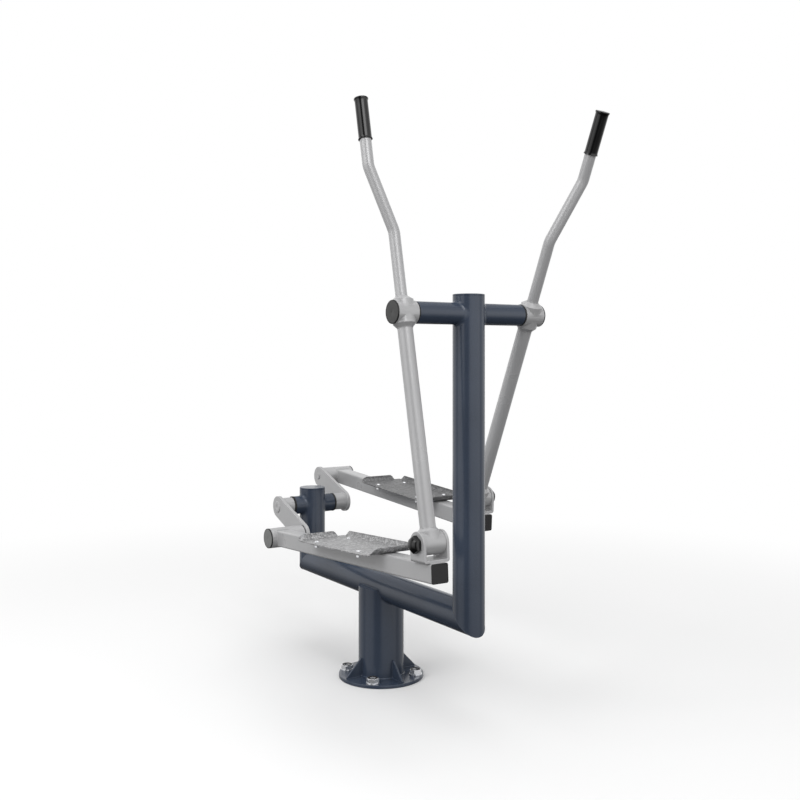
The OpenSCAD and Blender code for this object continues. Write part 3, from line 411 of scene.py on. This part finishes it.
# Grips: a glossy moulded sleeve that flares out like a bell below, with a flat flanged cap on top
gripLook = {"body": 18.0, "rim": 19.75, "bore": 16.1, "bottom": 475, "lip": 589, "edge": 593,
            "top": 594, "offset": 58}
for sideName, side in sides.items():
    shape = bmesh.new()
    body, rim, bottom = gripLook["body"], gripLook["rim"], gripLook["bottom"]
    lip, edge, top = gripLook["lip"], gripLook["edge"], gripLook["top"]
    flare = [(rim - 0.5, 0.1), (rim - 0.1, 0.4), (rim, 0.9), (rim - 0.2, 1.6), (rim - 0.65, 2.6),
             (rim - 1.1, 3.7), (rim - 1.45, 5.0), (rim - 1.65, 6.6), (body, 9.0)]
    profile = [(gripLook["bore"], bottom + 30), (gripLook["bore"], bottom + 6), (17.0, bottom + 2.4),
               (rim - 1.2, bottom)]
    profile += [(radius, bottom + rise) for radius, rise in flare]
    profile += [(body, bottom + step) for step in (40, 70, 95)]
    profile += [(body, lip - 6), (body + 0.25, lip - 3), (body + 0.7, lip - 1.4), (rim - 0.6, lip - 0.5),
                (rim - 0.1, lip + 0.1), (rim, lip + 0.7), (rim, edge - 1.3), (rim - 0.15, edge - 0.6),
                (rim - 0.6, edge - 0.1), (rim - 1.4, edge + 0.1), (15, top - 0.45), (8, top - 0.1),
                (2.2, top), (1.6, top - 0.4), (0, top - 0.5)]
    addTurned(shape, profile, armPlace[sideName] @ Matrix.Translation(
        (0, side * (machine["track"] + gripLook["offset"]) * mm, 0)), steps=96)
    finishPiece(shape, sideName + "GripSleeve", sideName + "_arm", "grip_rubber", [sideName + "_grip"], 50)
print("grips made")

# Caps on the arms' hubs and on the pedal bars' sleeves: a grey disc in a black rim
capLook = {"radius": 31.6, "rimWidth": 1.4, "height": 4.0, "faceDrop": 0.5, "hubOut": 245.5,
           "sleeveOut": 255.1}
dustRing = {"bore": 13, "radius": 31.75, "thickness": 2, "round": 0.4, "out": 135.6}
dustEdge = dustRing["radius"] - 0.55
for sideName, side in sides.items():
    radius, height = capLook["radius"], capLook["height"]
    inner = radius - capLook["rimWidth"]
    face = height - capLook["faceDrop"]
    for part, place, start, node in (("HubCap", armPlace, "hubOut", "_hub_cap"),
                                     ("SleeveCap", barPlace, "sleeveOut", "_sleeve_caps")):
        body = sideName + ("_arm" if part == "HubCap" else "_pedal_bar")
        base = facingOut(place[sideName], side, capLook[start])
        rim = bmesh.new()
        addTurned(rim, [(inner, 0), (radius, 0), (radius, height - 0.9), (radius - 0.3, height - 0.25),
                        (radius - 0.9, height), (inner, height - 0.1)], base, closed=True)
        if part == "SleeveCap":
            bore, reach, thick, edge = (dustRing[key] for key in ("bore", "radius", "thickness", "round"))
            addTurned(rim, [(bore, 0), (dustEdge, 0), (reach, edge), (reach, thick - edge),
                            (dustEdge, thick), (bore, thick)],
                      facingOut(place[sideName], side, dustRing["out"]), closed=True)
        finishPiece(rim, sideName + part + "Rim", body, "black_plastic")
        disc = bmesh.new()
        addTurned(disc, [(0, 0), (inner, 0), (inner, face - 0.3), (inner - 0.4, face),
                         (inner - 3, face + 0.1), (inner / 2, face + 0.35), (2.4, face + 0.45),
                         (1.8, face + 0.2), (0, face + 0.1)], base)
        finishPiece(disc, sideName + part, body, "cap_plastic", [sideName + node],
                    material=hubCapNylon if part == "HubCap" else sleeveCapNylon)
print("hub and sleeve caps made")

# Flat round plugs outside the crank plates, where the spindle ends
plugLook = {"radius": 20, "height": 2.4, "start": 135.3}
shape = bmesh.new()
for sideName, side in sides.items():
    radius, height = plugLook["radius"], plugLook["height"]
    addTurned(shape, [(0, 0), (radius, 0), (radius, height - 1.1), (radius - 0.35, height - 0.35),
                      (radius - 1.1, height), (3.2, height), (2.4, height - 0.6), (0, height - 0.8)],
              facingOut(crankPlace[sideName], side, plugLook["start"]))
finishPiece(shape, "spindlePlugs", "crankset", "silver_coat", ["crank_plugs"])

# Anchor nuts: chamfered hexagons with a thread, and a black insert that grips the stud
nutLook = {"across": 34, "height": 13, "bore": 10.1, "pitch": 2.5, "start": 14, "circle": 110,
           "insert": 15.6, "insertBore": 9.6, "insertDepth": 4}


def addNut(shape, look, place):
    across, height, bore, pitch = (look[key] for key in ("across", "height", "bore", "pitch"))
    chamfer = 0.06 * across
    corner = across / math.sqrt(3)
    edge = 0.475 * across

    def outer(depth):
        limit = edge + (corner + 0.1 - edge) * depth / chamfer
        return lambda angle: min(hexagonAt(angle, across), limit)

    steps = [0, 0.25, 0.5, 0.75, 1.0]
    rings = [(chamfer * step, outer(chamfer * step)) for step in steps]
    rings += [(height - chamfer * step, outer(chamfer * step)) for step in reversed(steps)]
    rings += [(height, lambda angle: bore + 0.12 * pitch + 1), (height - 0.4 * pitch, lambda angle: bore)]
    turns = int((height - 1.2 * pitch) / pitch)
    for turn in range(turns):
        level = height - 0.4 * pitch - turn * pitch
        rings += [(level - pitch / 2, lambda angle: bore - 0.5 * pitch), (level - pitch, lambda angle: bore)]
    rings += [(0, lambda angle: bore + 1), (0, outer(0))]
    addRings(shape, rings, place)


shape = bmesh.new()
inserts = bmesh.new()
for quarter in range(4):
    turn = Matrix.Rotation(math.pi / 4 + quarter * math.pi / 2, 4, "Z")
    seat = turn @ Matrix.Translation((nutLook["circle"] * mm, 0, nutLook["start"] * mm))
    addNut(shape, nutLook, seat)
    top, grip, bore = nutLook["height"], nutLook["insert"], nutLook["insertBore"]
    low = top - nutLook["insertDepth"]
    addTurned(inserts, [(bore, low), (grip, low), (grip, top + 0.2), (grip - 0.8, top + 0.7),
                        (bore + 1, top + 0.7), (bore, top - 0.2)], seat, closed=True)
finishPiece(shape, "anchorHexNuts", "frame", "zinc_plate", ["anchor_nuts"], 28)
finishPiece(inserts, "anchorNutInserts", "frame", "black_plastic")
print("anchor nuts made")

# Nut caps on the lower pivots: black moulded hexagons that round off to a dome
nutCapLook = {"across": 40, "height": 21, "hexHeight": 8, "innerAcross": 33, "innerHeight": 12.5,
              "out": 253, "rounding": 14}
for sideName, side in sides.items():
    across, height, hexHeight = (nutCapLook[key] for key in ("across", "height", "hexHeight"))
    hollow, depth = nutCapLook["innerAcross"], nutCapLook["innerHeight"]
    rings = [(depth, lambda angle: 0), (depth, lambda angle: hexagonAt(angle, hollow)),
             (0, lambda angle: hexagonAt(angle, hollow)),
             (0, lambda angle: hexagonAt(angle, across) - 0.8),
             (0.3, lambda angle: hexagonAt(angle, across) - 0.2),
             (1.0, lambda angle: hexagonAt(angle, across))]
    rounding = nutCapLook["rounding"]
    for step in range(rounding + 1):
        share = step / rounding
        level = hexHeight + (height - hexHeight) * math.sin(share * math.pi / 2)
        shrink = math.cos(share * math.pi / 2)
        blend = min(1, share * 1.5)
        rings.append((level, lambda angle, shrink=shrink, blend=blend: max(0.001, shrink) * (
            (1 - blend) * hexagonAt(angle, across) + blend * 1.05 * across / 2)))
    shape = bmesh.new()
    seat = facingOut(barPlace[sideName], side, nutCapLook["out"], machine["pivotAlong"],
                     machine["pivotUp"])
    addRings(shape, rings, seat, segments=96)
    finishPiece(shape, sideName + "NutCap", sideName + "_pedal_bar", "black_plastic",
                [sideName + "_nut_cap"], 40, glossNylon)
print("nut caps made")

# Pedal bolts: low domed heads on the tread, washers and nuts under the lugs
boltLook = {"thread": 4, "head": 6.8, "headHeight": 3.2, "headEdge": 0.4, "treadTop": 28,
            "lugBottom": 20, "washer": 8, "washerHeight": 1.6, "tail": 1.6, "first": 363.5,
            "pitch": 241, "span": 107, "shift": 4}
pedalNut = {"across": 13, "height": 6.4, "bore": 4.02, "pitch": 1.25}
for sideName, side in sides.items():
    shape = bmesh.new()
    thread, head = boltLook["thread"], boltLook["head"]
    for along in (0, 1):
        for across in (-0.5, 0.5):
            across *= boltLook["span"]
            seat = barPlace[sideName] @ Matrix.Translation((
                (boltLook["first"] + along * boltLook["pitch"]) * mm,
                side * (machine["track"] + boltLook["shift"] + across) * mm, 0))
            low, high = boltLook["lugBottom"], boltLook["treadTop"]
            nutTop = low - boltLook["washerHeight"]
            nutBottom = nutTop - pedalNut["height"]
            tail = nutBottom - boltLook["tail"]
            shoulder = high + boltLook["headEdge"]
            rise = boltLook["headHeight"] - boltLook["headEdge"]
            dome = [(head * math.cos(math.radians(step)), shoulder + rise * math.sin(math.radians(step)))
                    for step in range(0, 90, 15)]
            addTurned(shape, [(0, tail), (thread - 0.6, tail), (thread, tail + 0.6), (thread, high),
                              (head, high)] + dome + [(0, high + boltLook["headHeight"])], seat, steps=32)
            addTurned(shape, [(thread + 0.2, nutTop), (boltLook["washer"], nutTop), (boltLook["washer"], low),
                              (thread + 0.2, low)], seat, steps=32, closed=True)
            addNut(shape, pedalNut, seat @ Matrix.Translation((0, 0, nutBottom * mm)))
    finishPiece(shape, sideName + "PedalBolts", sideName + "_pedal_bar", "zinc_plate",
                [sideName + "_pedal_bolts"], 28)
print("pedal bolts made")

# Bar ends: a moulded stopper with a round-cornered flange and a shallow pressed field
stopperLook = {"start": 905, "thickness": 3, "width": 50, "corner": 5, "insertLength": 12,
               "insertWidth": 43, "insertCorner": 1.5, "border": 3.2, "pressed": 0.5,
               "pressedSlope": 0.6, "edge": 0.7}
for sideName, side in sides.items():
    shape = bmesh.new()
    for length, width, start, corner in (
            (stopperLook["thickness"], stopperLook["width"], stopperLook["start"], stopperLook["corner"]),
            (stopperLook["insertLength"], stopperLook["insertWidth"],
             stopperLook["start"] - stopperLook["insertLength"], stopperLook["insertCorner"])):
        block = bmesh.ops.create_cube(shape, size=1)["verts"]
        bmesh.ops.scale(shape, vec=(length * mm, width * mm, width * mm), verts=block)
        middle = ((start + length / 2) * mm, side * machine["track"] * mm, 0)
        bmesh.ops.translate(shape, vec=middle, verts=block)
        longEdges = [edge for edge in {edge for vert in block for edge in vert.link_edges}
                     if abs(edge.verts[0].co.x - edge.verts[1].co.x) > length * mm / 2]
        bmesh.ops.bevel(shape, geom=longEdges, offset=corner * mm, offset_type="OFFSET", affect="EDGES",
                        segments=6, profile=0.5, material=-1, clamp_overlap=True)
    shape.faces.ensure_lookup_table()
    front = max(shape.faces, key=lambda face: face.calc_center_median().x)
    rim = list(front.edges)
    bmesh.ops.inset_region(shape, faces=[front], thickness=stopperLook["border"] * mm, depth=0)
    bmesh.ops.inset_region(shape, faces=[front], thickness=stopperLook["pressedSlope"] * mm,
                           depth=-stopperLook["pressed"] * mm)
    bmesh.ops.bevel(shape, geom=rim, offset=stopperLook["edge"] * mm, offset_type="OFFSET",
                    affect="EDGES", segments=2, profile=0.5, material=-1, clamp_overlap=True)
    bmesh.ops.transform(shape, matrix=barPlace[sideName], verts=shape.verts)
    finishPiece(shape, sideName + "BarStopper", sideName + "_pedal_bar", "black_plastic",
                [sideName + "_bar_cap"], 32)
print("bar stoppers made")

# Ground fillets where the housing and the cross tube pass through the posts
filletLook = {"size": 8, "segments": 7, "housing": 31.0, "crossTube": 30.15}
shape = bmesh.new()


def addFillet(branch, main, place):
    size, segments = filletLook["size"], filletLook["segments"]

    def saddleAt(angle, radius):
        return math.sqrt(max(main ** 2 - (radius * math.sin(angle)) ** 2, 0))

    rings = []
    for step in range(segments + 1):
        share = step / segments
        up, out = (1 - share) ** 2 * size, share ** 2 * size
        rings.append((lambda angle, up=up, out=out: saddleAt(angle, branch + out) + up,
                      lambda angle, out=out: branch + out))
    rings.append((lambda angle: saddleAt(angle, branch + size) - 1, lambda angle: branch + size - 0.5))
    rings.append((lambda angle: saddleAt(angle, branch) - 1, lambda angle: branch - 1))
    rings.append((lambda angle: saddleAt(angle, branch) + size - 0.5, lambda angle: branch - 1))
    addRings(shape, rings, place, segments=96, looped=True)


for reach, height, branch in ((-machine["rearReach"], machine["crankHeight"], filletLook["housing"]),
                              (machine["frontReach"], machine["armHeight"], filletLook["crossTube"])):
    for side in (-1, 1):
        sideways = Matrix.Translation((reach * mm, 0, height * mm)) @ Matrix(
            ((0, 1, 0, 0), (0, 0, side, 0), (1, 0, 0, 0), (0, 0, 0, 1)))
        addFillet(branch, machine["frameTube"] / 2, sideways)
bmesh.ops.recalc_face_normals(shape, faces=shape.faces)
finishPiece(shape, "postFillets", "frame", "navy_coat")
print("fillets made")

# Weld beads: rippled cords of metal along the joints, painted over with their parts
weldLook = {"step": 1.6, "ripple": 0.12, "embed": 0.25, "foot": 3.2, "gusset": 2, "lid": 2, "mitre": 1.2,
            "hub": 2.4, "collar": 1.1, "bar": 2.4, "clevis": 2.2, "lug": 1.6}
jointLook = {"gussetHalf": 3, "gussetEnd": 123, "gussetTop": 64, "gussetCut": 4, "hubRadius": 28.5,
             "hubOut": 123.3, "armHubRadius": 31.75, "collarLength": 11, "upperTube": 15.9,
             "lowerTube": 20.65, "lowerCollar": 38, "barHalf": 25, "barCorner": 5, "sleeveRadius": 31.75,
             "clevisHalf": 32, "clevisWeldHalf": 21, "lugUp": 19.8, "lugHalf": 16, "lugSide": 25.3}
weldPaths = {}


def addWeld(body, points, size, closed=False):
    weldPaths.setdefault(body, []).append((points, size, closed))


# Points round a tube end; it may be saddled to a tube along local X, or cut slanting
def ringPath(radius, place, saddle=0.0, slant=0.0, sweep=(0, 360)):
    span = math.radians(sweep[1] - sweep[0])
    count = max(12, int(radius * span / weldLook["step"]))
    points = []
    for index in range(count if span > 6.28 else count + 1):
        angle = math.radians(sweep[0]) + span * index / count
        across, beside = radius * math.cos(angle), radius * math.sin(angle)
        height = math.sqrt(max(saddle ** 2 - beside ** 2, 0)) + slant * across
        points.append(place @ Vector((across * mm, beside * mm, height * mm)))
    return points


def linePath(corners, place):
    points = []
    for start, end in zip(corners, corners[1:]):
        start, end = Vector(start), Vector(end)
        count = max(2, int((end - start).length / weldLook["step"]))
        points += [place @ (start.lerp(end, index / count) * mm) for index in range(count)]
    return points + [place @ (Vector(corners[-1]) * mm)]


postRadius, baseRadius = machine["frameTube"] / 2, machine["baseTube"] / 2
flat = Matrix.Identity(4)
embed = weldLook["embed"]
addWeld("frame", ringPath(baseRadius + embed * weldLook["foot"], Matrix.Translation(
    (0, 0, (machine["flange"] + embed * weldLook["foot"]) * mm))), weldLook["foot"], True)
gussetStart, wall = baseRadius + jointLook["gussetCut"], baseRadius + 0.5
for quarter in range(4):
    turn = Matrix.Rotation(quarter * math.pi / 2, 4, "Z")
    for flank in (-1, 1):
        beside = flank * (jointLook["gussetHalf"] + embed * weldLook["gusset"])
        low = machine["flange"] + embed * weldLook["gusset"]
        addWeld("frame", linePath([
            (jointLook["gussetEnd"], beside, low), (gussetStart, beside, low),
            (wall, beside, low + jointLook["gussetCut"]), (wall, beside, jointLook["gussetTop"])], turn),
            weldLook["gusset"])
beamRadius = postRadius + embed * weldLook["lid"]
lidHalf = math.sqrt(baseRadius ** 2 - beamRadius ** 2)
lidUp = machine["beamHeight"] + embed * weldLook["lid"]
for end in (-1, 1):
    downward = Matrix.Translation((0, 0, machine["beamHeight"] * mm)) @ Matrix(
        ((0, 0, end, 0), (0, 1, 0, 0), (1, 0, 0, 0), (0, 0, 0, 1)))
    points = ringPath(beamRadius, downward, saddle=baseRadius + embed * weldLook["lid"], sweep=(90, 270))
    addWeld("frame", points, weldLook["lid"])
    addWeld("frame", linePath([(-lidHalf, end * beamRadius, lidUp), (lidHalf, end * beamRadius, lidUp)],
                              flat), weldLook["lid"])
for reach, slant in ((-machine["rearReach"], 1), (machine["frontReach"], -1)):
    corner = Matrix.Translation((reach * mm, 0, machine["beamHeight"] * mm))
    addWeld("frame", ringPath(postRadius - 0.6, corner, slant=slant), weldLook["mitre"], True)
collarTop = jointLook["armHubRadius"] + jointLook["collarLength"]
lowerCollar = -machine["armLength"] + jointLook["lowerCollar"]
for sideName, side in sides.items():
    addWeld("crankset", ringPath(jointLook["hubRadius"] + embed * weldLook["hub"], facingOut(
        crankPlace[sideName], side, jointLook["hubOut"] - embed * weldLook["hub"])), weldLook["hub"], True)
    arm = armPlace[sideName] @ Matrix.Translation((0, side * machine["track"] * mm, 0))
    for radius, height in ((jointLook["upperTube"], collarTop), (jointLook["lowerTube"], -collarTop),
                           (jointLook["lowerTube"], lowerCollar)):
        addWeld(sideName + "_arm", ringPath(radius, arm @ Matrix.Translation((0, 0, height * mm))),
                weldLook["collar"], True)
    bar = barPlace[sideName] @ Matrix.Translation((0, side * machine["track"] * mm, 0))
    half, corner = jointLook["barHalf"] + embed * weldLook["bar"], jointLook["barCorner"]
    sleeve = jointLook["sleeveRadius"] + embed * weldLook["bar"]
    outline = []
    for quarter in range(4):
        for step in range(4):
            angle = math.radians(quarter * 90 + step * 30)
            cornerY = (half - corner) * (1 if quarter in (0, 3) else -1)
            cornerZ = (half - corner) * (1 if quarter in (0, 1) else -1)
            outline.append((0, cornerY + corner * math.cos(angle), cornerZ + corner * math.sin(angle)))
    loop = linePath(outline + outline[:1], flat)[:-1]
    saddled = [bar @ Vector((math.sqrt(max((sleeve * mm) ** 2 - point.z ** 2, 0)), point.y, point.z))
               for point in loop]
    addWeld(sideName + "_pedal_bar", saddled, weldLook["bar"], True)
    wide, top = jointLook["clevisWeldHalf"], jointLook["barHalf"]
    reach, up = jointLook["lugHalf"], jointLook["lugUp"]
    for end in (-1, 1):
        foot = machine["pivotAlong"] + end * (jointLook["clevisHalf"] + embed * 2)
        addWeld(sideName + "_pedal_bar", linePath([(foot, -wide, top), (foot, wide, top)], bar),
                weldLook["clevis"])
        out = end * jointLook["lugSide"]
        for lug in (boltLook["first"], boltLook["first"] + boltLook["pitch"]):
            addWeld(sideName + "_pedal_bar", linePath([(lug - reach, out, up), (lug + reach, out, up)], bar),
                    weldLook["lug"])
for body, paths in weldPaths.items():
    runs = []
    for points, size, closed in paths:
        radii = [size * (1 - weldLook["ripple"] * (index % 3) / 2) for index in range(len(points))]
        runs.append((points, radii, closed))
    finishPiece(sweepRound(body + "Beads", runs, 2), body + "Welds", body,
                "navy_coat" if body == "frame" else "silver_coat", smoothBelow=60)
print("weld beads made:", sum(len(paths) for paths in weldPaths.values()))

# The camera stands level in front and to the right of the machine
cameraFit = {"place": (2.64535, -1.62682, 1.00638), "turn": 0.5704, "focalPixels": 989.64,
             "imageSize": 800, "horizonPixel": 354.25}
cameraData = bpy.data.cameras.new("photoCamera")
camera = bpy.data.objects.new("photoCamera", cameraData)
scene.collection.objects.link(camera)
cameraData.sensor_width = 36
cameraData.lens = cameraFit["focalPixels"] / cameraFit["imageSize"] * cameraData.sensor_width
cameraData.shift_y = (cameraFit["horizonPixel"] - cameraFit["imageSize"] / 2) / cameraFit["imageSize"]
lookAlong = Vector((-math.cos(cameraFit["turn"]), math.sin(cameraFit["turn"]), 0))
camera.location = cameraFit["place"]
camera.rotation_euler = lookAlong.to_track_quat("-Z", "Y").to_euler()
cameraData.clip_end = 100
scene.camera = camera

# A pale studio floor that fades into a white backdrop
stage = {"floorColour": "#ececec", "floorSize": 24.0, "fadeStart": 0.9, "fadeEnd": 3.2}
floorMesh = bpy.data.meshes.new("studioFloor")
floorShape = bmesh.new()
bmesh.ops.create_grid(floorShape, x_segments=1, y_segments=1, size=stage["floorSize"] / 2)
floorShape.to_mesh(floorMesh)
floorShape.free()
floor = bpy.data.objects.new("studioFloor", floorMesh)
scene.collection.objects.link(floor)
# The paper neither mirrors in the paint nor lights it
floor.visible_glossy = False
floor.visible_diffuse = False
floorMaterial, tree = newMaterial("studioFloorPaper")
place = addNode(tree, "ShaderNodeTexCoord").outputs["Object"]
distance = addNode(tree, "ShaderNodeVectorMath", {"operation": "LENGTH"}, links={0: place})
fade = addNode(tree, "ShaderNodeMapRange", {"interpolation_type": "SMOOTHSTEP"}, values={
    "From Min": stage["fadeStart"], "From Max": stage["fadeEnd"]}, links={"Value": distance.outputs["Value"]})
paper = addNode(tree, "ShaderNodeBsdfDiffuse")
paper.inputs["Color"].default_value = toLinear(stage["floorColour"])
white = addNode(tree, "ShaderNodeEmission", values={"Strength": 1.0})
rays = addNode(tree, "ShaderNodeLightPath")
seen = addNode(tree, "ShaderNodeMath", {"operation": "MAXIMUM"}, links={
    0: rays.outputs["Is Camera Ray"], 1: rays.outputs["Is Glossy Ray"]})
share = addNode(tree, "ShaderNodeMath", {"operation": "MULTIPLY"}, links={
    0: fade.outputs["Result"], 1: seen.outputs["Value"]})
mixed = addNode(tree, "ShaderNodeMixShader", links={
    0: share.outputs["Value"], 1: paper.outputs["BSDF"], 2: white.outputs["Emission"]})
addNode(tree, "ShaderNodeOutputMaterial", links={"Surface": mixed.outputs["Shader"]})
floorMesh.materials.append(floorMaterial)

# The studio round the machine. What shines in the paint is told apart by bearing and height: a white
# backdrop behind, two panels with a dark gap on the camera's side, brighter higher up, and a dark ground.
studio = {"front": (0.8417, -0.54, 0), "beside": (0.54, 0.8417, 0), "brightest": 4.5,
          "panels": [(-180, 1.0), (-106, 1.0), (-100, 0.5), (-90, 0.5), (-84, 1.3), (-42, 1.2),
                     (-32, 0.15), (-4, 0.15), (6, 1.2), (30, 1.4), (78, 1.45), (86, 0.7), (96, 0.7),
                     (106, 1.0), (180, 1.0)],
          "highPanels": [(-180, 0.5), (-115, 0.7), (-106, 0.9), (-98, 0.2), (-82, 0.2), (-74, 2.8),
                         (-42, 2.8), (-34, 0.15), (-5, 0.15), (3, 4.2), (38, 4.2), (46, 1.4), (96, 0.6),
                         (106, 0.9), (115, 0.7), (180, 0.5)],
          "high": (0.3, 0.58), "sky": (0.8, 0.92), "ground": (0.05, -0.6), "skyLevel": 1.0,
          "groundLevel": 0.04,
          "fill": [(0.0, 0.34), (0.25, 0.36), (0.5, 0.5), (0.6, 0.6), (0.9, 0.8)]}
world = bpy.data.worlds.new("studioWorld")
world.use_nodes = True
scene.world = world
tree = world.node_tree
tree.nodes.clear()
heading = addNode(tree, "ShaderNodeTexCoord").outputs["Generated"]
ahead = addNode(tree, "ShaderNodeVectorMath", {"operation": "DOT_PRODUCT"}, {1: studio["front"]},
                {0: heading})
beside = addNode(tree, "ShaderNodeVectorMath", {"operation": "DOT_PRODUCT"}, {1: studio["beside"]},
                 {0: heading})
bearing = addNode(tree, "ShaderNodeMath", {"operation": "ARCTAN2"}, links={
    0: beside.outputs["Value"], 1: ahead.outputs["Value"]})
turn = addNode(tree, "ShaderNodeMapRange", values={
    "From Min": -math.pi, "From Max": math.pi}, links={"Value": bearing.outputs["Value"]})
height = addNode(tree, "ShaderNodeSeparateXYZ", links={"Vector": heading}).outputs["Z"]
brightest = studio["brightest"]
rings = {}
for ringName in ("panels", "highPanels"):
    ring = addNode(tree, "ShaderNodeValToRGB", links={"Fac": turn.outputs["Result"]})
    setRamp(ring, [((angle + 180) / 360, grey(level / brightest)) for angle, level in studio[ringName]])
    rings[ringName] = ring.outputs["Color"]
shine = rings["panels"]
for band, source, level in (("high", rings["highPanels"], None), ("sky", None, studio["skyLevel"]),
                            ("ground", None, studio["groundLevel"])):
    share = addNode(tree, "ShaderNodeMapRange", {"interpolation_type": "SMOOTHSTEP"}, values={
        "From Min": studio[band][0], "From Max": studio[band][1]}, links={"Value": height})
    mixed = addNode(tree, "ShaderNodeMix", {"data_type": "RGBA"}, links={
        "Factor": share.outputs["Result"], "A": shine})
    if source:
        tree.links.new(source, mixed.inputs["B"])
    else:
        mixed.inputs["B"].default_value = grey(level / brightest)
    shine = mixed.outputs["Result"]
gloss = addNode(tree, "ShaderNodeBackground", values={"Strength": brightest}, links={"Color": shine})
rise = addNode(tree, "ShaderNodeMapRange", values={"From Min": -1.0}, links={"Value": height})
fill = addNode(tree, "ShaderNodeValToRGB", links={"Fac": rise.outputs["Result"]})
setRamp(fill, [(place, grey(level)) for place, level in studio["fill"]])
soft = addNode(tree, "ShaderNodeBackground", values={"Strength": 1.0}, links={"Color": fill.outputs["Color"]})
rays = addNode(tree, "ShaderNodeLightPath")
lit = addNode(tree, "ShaderNodeMixShader", links={
    0: rays.outputs["Is Glossy Ray"], 1: soft.outputs["Background"], 2: gloss.outputs["Background"]})
clear = addNode(tree, "ShaderNodeMath", {"operation": "MAXIMUM"}, links={
    0: rays.outputs["Is Camera Ray"], 1: rays.outputs["Is Transmission Ray"]})
backdrop = addNode(tree, "ShaderNodeBackground", values={"Strength": 1.0})
backdrop.inputs["Color"].default_value = grey(1)
mixed = addNode(tree, "ShaderNodeMixShader", links={
    0: clear.outputs["Value"], 1: lit.outputs["Shader"], 2: backdrop.outputs["Background"]})
addNode(tree, "ShaderNodeOutputWorld", links={"Surface": mixed.outputs["Shader"]})

# Two softboxes beside the camera, and one over the machine
lamps = {
    "leftSoftbox": {"place": (0.1, -3.6, 3.2), "target": (0, 0, 0.8), "width": 2.6, "height": 1.8,
                    "power": 68},
    "rightSoftbox": {"place": (3.7, -0.9, 3.3), "target": (0, 0, 0.9), "width": 1.8, "height": 1.6,
                     "power": 46},
    "topSoftbox": {"place": (-0.6, 0.6, 4.6), "target": (0, 0, 0.5), "width": 3.0, "height": 3.0,
                   "power": 40},
}
for name, lamp in lamps.items():
    lampData = bpy.data.lights.new(name, "AREA")
    lampData.shape = "RECTANGLE"
    lampData.size = lamp["width"]
    lampData.size_y = lamp["height"]
    lampData.energy = lamp["power"]
    lampObject = bpy.data.objects.new(name, lampData)
    scene.collection.objects.link(lampObject)
    lampObject.location = lamp["place"]
    lampObject.visible_glossy = False
    aim = Vector(lamp["target"]) - Vector(lamp["place"])
    lampObject.rotation_euler = aim.to_track_quat("-Z", "Y").to_euler()
scene.view_settings.view_transform = "Standard"
print("camera, stage and lamps ready")
